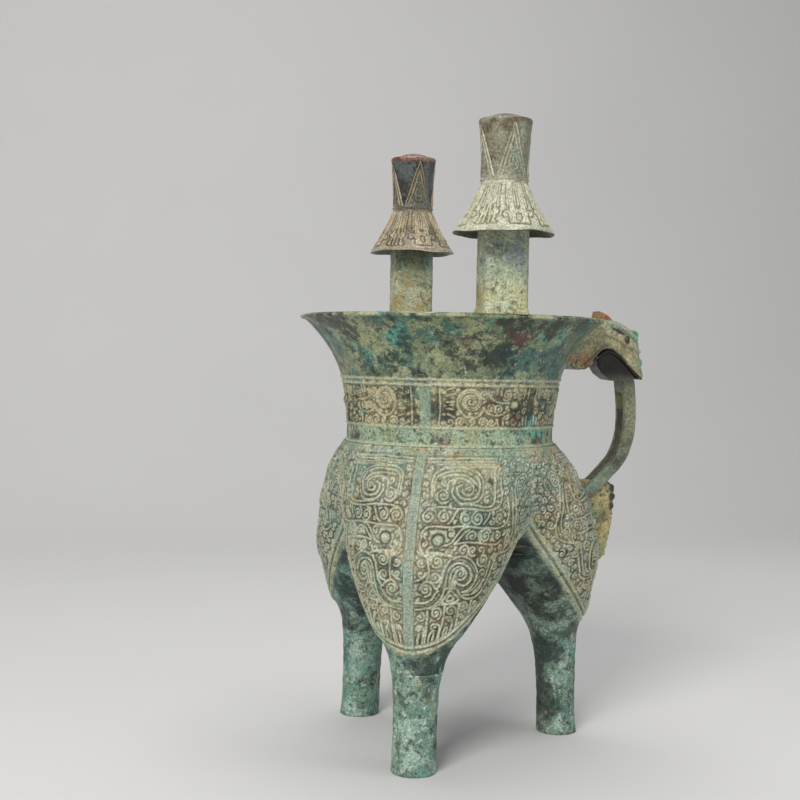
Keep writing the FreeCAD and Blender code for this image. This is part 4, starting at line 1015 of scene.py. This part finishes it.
cap_looks = {
    "front": (("B7B59C", "C9C8AE"), [
        ("DAD9C0", 60, 2.0, 0.52, 0.06, 0.8), ("A3B096", 50, 9.0, 0.55, 0.05, 0.8),
        ("A98E6C", 60, 5.0, 0.62, 0.05, 0.5), ("6F7058", 90, 15.0, 0.62, 0.04, 0.6)],
        ("E4E3CA", "D5CFA6", "7E7D5F", "5E5B40"),
        [("crown", "7D7A66", 0.8, 0), ("crown", "9AA08C", 0.7, 70), ("crown", "5C4636", 0.75, 42),
         ("leaf", "93A18E", 0.55, 80), ("leaf_line", "D0CBA2", 0.65, 0), ("top", "5A5348", 0.5, 60)]),
    "back": (("9C8F76", "B5A98F"), [
        ("D2C7AE", 50, 2.0, 0.56, 0.05, 0.7), ("6E6656", 55, 9.0, 0.54, 0.06, 0.8),
        ("8C9C86", 60, 5.0, 0.62, 0.05, 0.7)],
        ("DDD0A8", "C9A46A", "4E493C", "33302A"),
        [("crown", "2C2C2E", 0.92, 0), ("crown", "6F7A76", 0.6, 60), ("leaf", "6E6A48", 0.5, 70),
         ("leaf_line", "CBB183", 0.75, 0), ("top", "7A3A2C", 0.85, 0), ("top", "A88C7C", 0.7, 60)]),
}
for side, angle in post_turns.items():
    ground, growths, relief, stains = cap_looks[side]
    finish = bronze("patina_cap_" + side, ground, growths, relief=relief, stains=stains,
                    rough=(0.55, 0.3) if side == "front" else (0.42, 0.22), depth=0.25, fade_height=0.5)
    mesh = solid_mesh("cap", about_axis(cap_points, angle), cap_faces, **cap_fields)
    cast_piece("post_cap_" + side, mesh, finish, "post_cap_" + side, cap_threads, None,
               width=0.5, height=0.5, form=0.0, rough=0.15)


# The handle's strap: a flat cast bar with a slot along its inner side, still full of casting clay. It rises from
# the pouch to the beast head, and its broad end fills the open mouth as a tongue. Cast in one with a lug.
strap_width, strap_foot = 17.0, 164.0
leg_centre, leg_width, _ = pouch_row(strap_foot)
foot_x = float(leg_centre + leg_width)
rise, lean = 240 - strap_foot, 126.8 - foot_x
strap_middle = np.array([
    (foot_x - 2.1, strap_foot - 5), (foot_x + 0.27 * lean, strap_foot + 0.05 * rise),
    (foot_x + 0.57 * lean, strap_foot + 0.18 * rise), (foot_x + 0.83 * lean, strap_foot + 0.32 * rise),
    (foot_x + 0.98 * lean, strap_foot + 0.52 * rise), (foot_x + lean, strap_foot + 0.74 * rise),
    (foot_x + 0.95 * lean, 240)])


def from_work(name, work):
    mesh = bpy.data.meshes.new(name)
    work.to_mesh(mesh)
    work.free()
    return mesh


def plate(outline, half):
    """A flat plate in the handle's plane from its outline, in millimetres."""
    count = len(outline)
    points = [(x, side * half, z) for side in (-1, 1) for x, z in outline]
    faces = [list(range(count)), list(range(2 * count - 1, count - 1, -1))]
    faces += [[k, k + count, (k + 1) % count + count, (k + 1) % count] for k in range(count)]
    work = bmesh.new()
    corners = [work.verts.new([c * mm for c in p]) for p in points]
    for face in faces:
        work.faces.new([corners[k] for k in face])
    bmesh.ops.recalc_face_normals(work, faces=work.faces)
    return from_work("plate", work)


def fused(meshes, voxel, smoothing):
    """Several closed meshes melted into one skin, its corners softened as in a casting."""
    work = bmesh.new()
    for mesh in meshes:
        work.from_mesh(mesh)
    obj = make_object("fused", from_work("fused", work))
    melt = obj.modifiers.new("melt", "REMESH")
    melt.mode, melt.voxel_size, melt.use_smooth_shade = "VOXEL", voxel * mm, True
    soften = obj.modifiers.new("soften", "SMOOTH")
    soften.factor, soften.iterations = 0.5, smoothing
    made = baked(obj)
    bpy.data.objects.remove(obj)
    return made


def mesh_points(mesh):
    """The mesh's points in millimetres."""
    points = np.empty(len(mesh.vertices) * 3)
    mesh.vertices.foreach_get("co", points)
    return points.reshape(-1, 3) / mm


def settle(mesh, points, **fields):
    """Gives the mesh these points, in millimetres, and values stored on them."""
    mesh.vertices.foreach_set("co", (points * mm).reshape(-1))
    store(mesh, fields)
    mesh.update()


def rod(path, radius, taper=1.0):
    """A round bar along a smooth path of points in millimetres."""
    data = bpy.data.curves.new("rod", "CURVE")
    data.dimensions, data.bevel_depth, data.bevel_resolution = "3D", radius * mm, 3
    data.use_fill_caps = True
    spline = data.splines.new("NURBS")
    spline.points.add(len(path) - 1)
    for k, (point, p) in enumerate(zip(spline.points, path)):
        point.co = (p[0] * mm, p[1] * mm, p[2] * mm, 1)
        point.radius = 1 + (taper - 1) * k / (len(path) - 1)
    spline.order_u, spline.use_endpoint_u = 3, True
    obj = make_object("rod", data)
    made = baked(obj)
    bpy.data.objects.remove(obj)
    return made


def line_gap(x, z, line):
    """Distance in the handle's plane from points to a line of points."""
    return np.sqrt(np.min([(x - a) ** 2 + (z - b) ** 2 for a, b in line], axis=0))


def strap_rings():
    """The strap's sections along its middle line, with the slot in the inner face."""
    line = smooth_line(strap_middle, 0.8)
    ahead = np.gradient(line, axis=0)
    ahead /= np.linalg.norm(ahead, axis=1, keepdims=True)
    square = np.stack([ahead[:, 1], -ahead[:, 0]], 1)
    share = np.linspace(0, 1, len(line))
    rings = []
    for p, n, s in zip(line, square, share):
        half, wide = (8.2 + 1.2 * s) / 2, strap_width / 2
        deep = 3.6 * float(step_up(s, 0.10, 0.14) * step_up(s, 0.93, 0.89)) + 0.02
        corner = 2.0
        section = []
        for quarter, out, over in ((0, 1, 1), (1, -1, 1), (2, -1, -1), (3, 1, -1)):
            section += [(out * (half - corner) + corner * cos(a), over * (wide - corner) + corner * sin(a))
                        for a in np.linspace(quarter * pi / 2, (quarter + 1) * pi / 2, 5)]
            if quarter == 1:
                section += [(-half, 4.6), (-half + deep, 4.4), (-half + deep, -4.4), (-half, -4.6)]
        rings.append([(p[0] + n[0] * a, y, p[1] + n[1] * a) for a, y in section])
    return np.array(rings)


bar = solid_mesh("bar", *closed_bar(strap_rings()))
tongue = plate([(100 + x, 280 + z) for x, z in (
    (32.6, -38), (30, -33), (25, -27), (17, -19), (10, -15.5), (5.5, -16.5), (3, -20), (1.5, -26), (2, -31),
    (5, -35.5), (11, -39.5), (19.4, -40.5))], strap_width / 2)
lip_side, lip_radius = 8.9, 2.0
inner_lip = [(101.0, 255.5), (104.5, 259.7), (110.5, 260.8), (117, 257.2), (124.5, 250), (131.5, 242.5)]
lips = [rod([(x, side * lip_side, z) for x, z in inner_lip], lip_radius) for side in (-1, 1)]
strap_mesh = fused([bar, tongue, *lips], 0.55, 3)
points = mesh_points(strap_mesh)
x, y, z = points.T
inner_face = step_up(110 - x + (z - 200) * 0.35, 0, 8)
near_inner_lip = line_gap(x, z, smooth_line(inner_lip))
# Painted shade: the mouth value paints the strap's top and the tongue near-black where they sit under the beast head,
# and the shade value darkens them further.
settle(strap_mesh, points, shade=step_up(z, 240, 250) * 0.4,
       ochre=step_up(z, 190, 215), teal=step_up(z, 190, 168), mouth=step_up(z, 234, 247),
       lip=step_up(near_inner_lip, 2.8, 2.2), gloss=step_up(near_inner_lip, 2.6, 1.6) + inner_face * 0.2)
strap_finish = bronze("patina_strap", ("6E7563", "868A74"), [
    ("9A9D86", 60, 2.0, 0.55, 0.05, 0.8), ("3F4A3C", 45, 9.0, 0.55, 0.06, 0.8),
    ("8C7A55", 60, 5.0, 0.60, 0.05, 0.6), ("5E3F30", 80, 15.0, 0.66, 0.04, 0.6)], rough=(0.5, 0.32), depth=0.35,
    stains=[("ochre", "9A9468", 0.6, 60), ("teal", "7FA08C", 0.6, 60), ("mouth", "150F0A", 0.97, 0),
            ("mouth", "3A2D1E", 0.3, 60), ("lip", "0C0B0A", 0.97, 0)])
cast_piece("handle_strap", strap_mesh, strap_finish, "handle_strap", rough=0.25)


# The beast head: a separate casting over the strap's end, hung on the flare under the rim. An arched upper lip,
# curled ears and round bosses on the brow, with a short crest that stands over the rim.
head_half, head_round, rim_top = 11.6, 4.5, 279.4


def head_point(out, up):
    """A place in the handle's plane, out from the rim's edge and up from its top."""
    return 100 + out, 280 + up


def ball(centre, size):
    """An oval bead in millimetres: its middle and its half sizes."""
    work = bmesh.new()
    bmesh.ops.create_uvsphere(work, u_segments=20, v_segments=12, radius=1)
    for vert in work.verts:
        vert.co = [(c + v * s) * mm for c, v, s in zip(centre, vert.co, size)]
    return from_work("ball", work)


crown = smooth_line([head_point(*p) for p in (
    (-8, 0.5), (0, 1.0), (8, 1.3), (15, 0), (22, -3.4), (28.5, -8), (31, -16), (32.2, -25), (34, -33))], 1.2)
lip = smooth_line([head_point(*p) for p in (
    (33.2, -39.4), (26, -32.2), (18.5, -24.4), (10.5, -18.8), (3.8, -19), (-2.2, -23.9), (-7.8, -31),
    (-14.9, -33), (-19, -30))], 1.2)
head_back = np.array([head_point(-24, -28)])
made = [plate(np.vstack([crown, lip, head_back]), head_half)]
for side in (-1, 1):
    face = head_half * side

    def on(out, up, proud=0.0):
        """A place on that side of the head, standing a little proud of it."""
        x, z = head_point(out, up)
        return x, face + side * proud, z

    made += [
        rod([on(out, up, 0.2) for out, up in ((31.8, -37), (24.5, -30.3), (17.5, -23), (10.3, -17.6), (4, -17.8),
                                              (-1.6, -22.6), (-7.2, -29.4), (-13.5, -31.4))], 0.95),
        rod([on(out, up, 0.3) for out, up in ((2.5, -3), (9, -9.5), (16, -12.5), (22, -16.5), (28, -17.5),
                                              (31, -20.5))], 1.0),
        rod([on(out, up, 0.6) for out, up in ((8.5, -1.5), (15, -3), (21.5, -6.3), (27, -10.5), (28, -13))], 1.5),
        rod([on(9 + 3.8 * cos(a), -5.7 + 3.8 * sin(a), 0.5) for a in np.radians(range(100, -215, -35))], 1.25),
        rod([on(7.6 + 1.5 * cos(a), -6.2 + 1.5 * sin(a), 0.7) for a in np.radians(range(150, -60, -35))], 0.9),
        ball(on(21.4, -12.0, -0.3), (1.8, 1.5, 2.5)),
        ball((127.8, side * 6.4, 271.2), (3.9, 4.2, 3.8)),
        ball((133.0, side * 5.5, 252.6), (2.2, 3.4, 3.4)),
        rod([on(-4, -27, 0.1), on(-7.5, -31, 0.2), on(-12.5, -32, 0.2), on(-15.5, -29.5, 0.1), on(-14, -26.5, 0)], 1.3),
    ]
made += [rod([(103.8, y, 278), (106, y, 281), (108, y, 284.2)], 4.0, 1.6) for y in (-3.2, 0, 3.2)]
head_mesh = fused(made, 0.5, 5)
points = mesh_points(head_mesh)
x, y, z = points.T
near_crown = line_gap(x, z, crown)
# Its top edges are rounded, and it follows the flare and lies on the rim
limit = head_half - head_round + dome(np.clip(head_round - near_crown, 0, head_round), head_round)
y = np.where((abs(y) < 12) & (z < 281.5), np.clip(y, -limit, limit), y)
radius = np.hypot(x, y)
wanted = np.maximum(radius, neck_radius(np.minimum(z, rim_top)) - 1.0)
x, y = (np.where(z < rim_top, side * wanted / radius, side) for side in (x, y))
z = np.where((np.hypot(x, y) < 100) & (z > rim_top), rim_top, z)
points = np.stack([x, y, z], 1)
near_lip = line_gap(x, z, lip)
brow_places = ((8.5, -1.5), (15, -3), (21.5, -6.3), (27, -10.5), (30, -20))
brow_line = smooth_line([head_point(*p) for p in brow_places], 1.0)
eyes = np.hypot((x - 121.4) * 1.35, z - 268.0)
slots = np.hypot(((x - 115.4) + (z - 273.2) * 0.8) * 0.35, ((z - 273.2) - (x - 115.4) * -0.35))
bosses = np.minimum(np.hypot(x - 128.6, z - 271), np.hypot(x - 133.4, z - 252.5))
# The mouth value paints the lip's edge and its inner side near-black and glossy: a dark lip, and painted shade inside
# the mouth; the shade value darkens the same place further.
settle(head_mesh, points,
       mouth=step_up(near_lip, 1.9, 0.9) * step_up(abs(y), 11.3, 10.6) + step_up(near_lip, 0.9, 0.5) * 0.6,
       eye=np.maximum(step_up(eyes, 3.3, 2.5), step_up(slots, 1.6, 0.9)) * step_up(abs(y), 9.5, 11),
       gloss=step_up(eyes, 3.3, 2.5) * 0.7 + step_up(near_lip, 1.9, 0.9) * 0.8,
       boss=step_up(bosses, 5.2, 3.6), hood=step_up(z, 262, 252) * step_up(x, 112, 98), crest=step_up(z, 279.8, 283.0),
       brow=step_up(line_gap(x, z, brow_line), 4.5, 2.0) * step_up(abs(y), 8, 10),
       shade=step_up(near_lip, 3.0, 1.0) * step_up(abs(y), 11.2, 10) * 0.6)
head_finish = bronze("patina_head", ("9C9676", "B5AB86"), [
    ("C9C29C", 60, 2.0, 0.54, 0.05, 0.8), ("8FA080", 50, 9.0, 0.56, 0.05, 0.8),
    ("7A6F4C", 70, 5.0, 0.56, 0.05, 0.7), ("D3C8A4", 120, 15.0, 0.6, 0.04, 0.7)], rough=(0.6, 0.42), depth=0.35,
    stains=[("brow", "9DA994", 0.75, 0), ("boss", "8DBB9B", 0.6, 0), ("boss", "6B9E82", 0.7, 90),
            ("crest", "A9784A", 0.75, 0), ("crest", "B0532F", 0.8, 120), ("hood", "B0663C", 0.75, 75),
            ("eye", "23262A", 0.9, 0), ("mouth", "17120E", 0.97, 0)])
cast_piece("handle_head", head_mesh, head_finish, "handle_head", rough=0.28)


# The spur under the handle: a scalloped fin cast in the corner between the strap and the pouch, with three beads
# on its outer edge. A lug keys it into the pouch.
spur_low, spur_high, spur_reach = 116.7, 172.0, 13.5
centre, width, _ = pouch_row(spur_low)
tip = float(centre + width)
rise = spur_high - spur_low
edge = [(0.25, 0), (0.55, 0.06), (0.72, 0.20), (0.84, 0.40), (0.98, 0.60), (1.04, 0.78), (0.96, 0.92), (0.55, 1.0)]
outline = smooth_line([(tip + a * spur_reach, spur_low + b * rise) for a, b in edge], 1.0)
outline[:, 0] += 0.55 * np.sin(outline[:, 1] * 1.15) + 0.3 * np.sin(outline[:, 1] * 2.3)
centre, width, _ = pouch_row(spur_high)
inner = np.array([(float(centre + width) - 5, spur_high), (tip - 5, spur_low)])
made = [plate(np.vstack([outline, inner]), 4.3)]
beads = [(tip + spur_reach * reach - 1.4, spur_low + share * rise, size) for reach, share, size in (
    (1.04, 0.90, 2.9), (1.08, 0.79, 3.1), (1.04, 0.67, 2.7), (0.94, 0.50, 2.2), (0.86, 0.36, 1.9))]
made += [ball((a, 0, b), (size, 4.6, size)) for a, b, size in beads]
made.append(rod([(tip + 3.5, 0, spur_low + 1), (tip + 8, 0, spur_low + 8), (tip + 10.4, 0, spur_low + 20),
                 (tip + 11.6, 0, spur_low + 30)], 2.2, 1.5))
for side in (-1, 1):
    made.append(rod([(tip + 2, side * 4.2, spur_low + 9), (tip + 6, side * 4.3, spur_low + 24),
                     (tip + 7, side * 4.3, spur_low + 38), (tip + 4, side * 4.3, spur_low + 48)], 0.8))
spur_mesh = fused(made, 0.45, 4)
points = mesh_points(spur_mesh)
x, y, z = points.T
for _ in range(4):
    x = x + np.clip(-2.2 - body_gap(x, y, z), 0, None)
points = np.stack([x, y, z], 1)
near_bead = np.min([np.hypot(x - a, z - b) - size for a, b, size in beads[:3]], axis=0)
dark_edge = step_up(near_bead, 0.9, -0.6) * step_up(x, tip + 9, tip + 11.5)
settle(spur_mesh, points, ochre=step_up(x, tip + 2, tip + 8), teal=step_up(z, 135, 118), dark=dark_edge,
       gloss=dark_edge * 0.7)
spur_finish = bronze("patina_spur", ("9A936A", "B3A878"), [
    ("CBBE8E", 60, 2.0, 0.53, 0.05, 0.8), ("5C6048", 50, 9.0, 0.56, 0.05, 0.8), ("8C5A3C", 55, 5.0, 0.62, 0.04, 0.7),
    ("9DB79C", 70, 15.0, 0.59, 0.04, 0.7), ("34382A", 200, 27.0, 0.58, 0.03, 0.7)], rough=(0.66, 0.48), depth=0.5,
    stains=[("ochre", "C0AD74", 0.5, 60), ("teal", "6E9680", 0.6, 60), ("dark", "1B241F", 0.9, 0)])
cast_piece("handle_spur", spur_mesh, spur_finish, "handle_spur", rough=0.35)


# The casting clay: fired cores left in the three feet and in the strap's slot, where it shows as a pale grey
# crumbly line. These four pieces keep their CAD shapes.
clay, tree, surface, place = new_material("fired_clay", 0.7)
colour = blend_colour(tree, patch_mask(tree, place, 260.0, 0.0, 0.52, 0.05), tint("4F4A3E"), tint("6B6450"))
tree.links.new(colour, surface["Base Color"])
surface["Roughness"].default_value = 0.9
for node in ("foot_core_handle", "foot_core_front", "foot_core_back", "handle_core"):
    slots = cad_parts[node].data.materials
    slots.clear()
    slots.append(clay)


# The stage: a plain pale floor that curves up into a plain backdrop, soft window-like light from the left, and the
# camera where the photograph was taken.
paper, tree, surface, place = new_material("paper", 0)
cloud = add(tree, "ShaderNodeTexNoise", [("Vector", place), ("Scale", 3.0), ("Detail", 3.0)])
tree.links.new(blend_colour(tree, cloud.outputs[0], tint("D9D8D6"), tint("E0DFDD")), surface["Base Color"])
surface["Roughness"].default_value = 0.85
bend = [(0.9 + 0.7 * sin(a), 0.7 - 0.7 * cos(a)) for a in np.linspace(0.1, pi / 2, 18)]
bend = [(-1.6, 0), (0.9, 0), *bend, (1.6, 2.6)]
floor = np.array([[(x, y, z) for x in (-3.5, 3.5)] for y, z in bend]) / mm
backdrop_mesh = solid_mesh("backdrop", floor, grid_faces(len(bend), 2, False))
backdrop_mesh.materials.append(paper)
backdrop = make_object("backdrop", backdrop_mesh)


def soft_light(name, place, aim, size, power, warmth):
    data = bpy.data.lights.new(name, "AREA")
    data.shape, data.size, data.energy, data.color = "SQUARE", size, power, warmth
    lamp = make_object(name, data)
    lamp.location = place
    lamp.rotation_euler = (Vector(aim) - Vector(place)).to_track_quat("-Z", "Y").to_euler()


soft_light("key", (-1.1, -1.5, 1.5), (0, 0, 0.22), 0.9, 36, (1.0, 0.98, 0.95))
soft_light("fill", (1.6, -1.2, 0.8), (0, 0, 0.2), 1.2, 7, (0.96, 0.98, 1.0))
soft_light("top", (0.1, 0.2, 1.7), (0, 0, 0.2), 1.0, 10, (1.0, 1.0, 1.0))
world = bpy.data.worlds.new("room")
world.use_nodes = True
world.node_tree.nodes["Background"].inputs[0].default_value = (0.9, 0.93, 1.0, 1.0)
world.node_tree.nodes["Background"].inputs[1].default_value = 0.22
bpy.context.scene.world = world
bpy.context.scene.view_settings.view_transform = "Standard"

# The camera: 0.9 m away, a little over half the vessel's height, turned and tipped as in the photograph
turn, distance, eye_height, down, roll, focal, right_of_axis = (
    radians(-17.4), 0.8995, 0.255, radians(1.93), radians(1.15), 1354.0, 50.0)
place = Vector((sin(turn) * distance, -cos(turn) * distance, eye_height))
ahead, right, up = Vector((-sin(turn), cos(turn), 0)), Vector((cos(turn), sin(turn), 0)), Vector((0, 0, 1))
yaw = atan(right_of_axis / focal)
ahead, right = cos(yaw) * ahead - sin(yaw) * right, cos(yaw) * right + sin(yaw) * ahead
ahead, up = cos(down) * ahead - sin(down) * up, cos(down) * up + sin(down) * ahead
right, up = cos(roll) * right + sin(roll) * up, cos(roll) * up - sin(roll) * right
camera_data = bpy.data.cameras.new("camera")
camera_data.sensor_width, camera_data.lens = 36.0, focal * 36.0 / 800
camera_data.clip_start, camera_data.clip_end = 0.01, 20.0
camera = make_object("camera", camera_data)
camera.matrix_world = Matrix((
    (right.x, up.x, -ahead.x, place.x), (right.y, up.y, -ahead.y, place.y), (right.z, up.z, -ahead.z, place.z),
    (0, 0, 0, 1)))
bpy.context.scene.camera = camera

# Pattern planes are tools of the making, not part of the vessel
for tool in (neck_threads, neck_forms, mask_threads, mask_forms, cap_threads):
    bpy.data.objects.remove(tool)
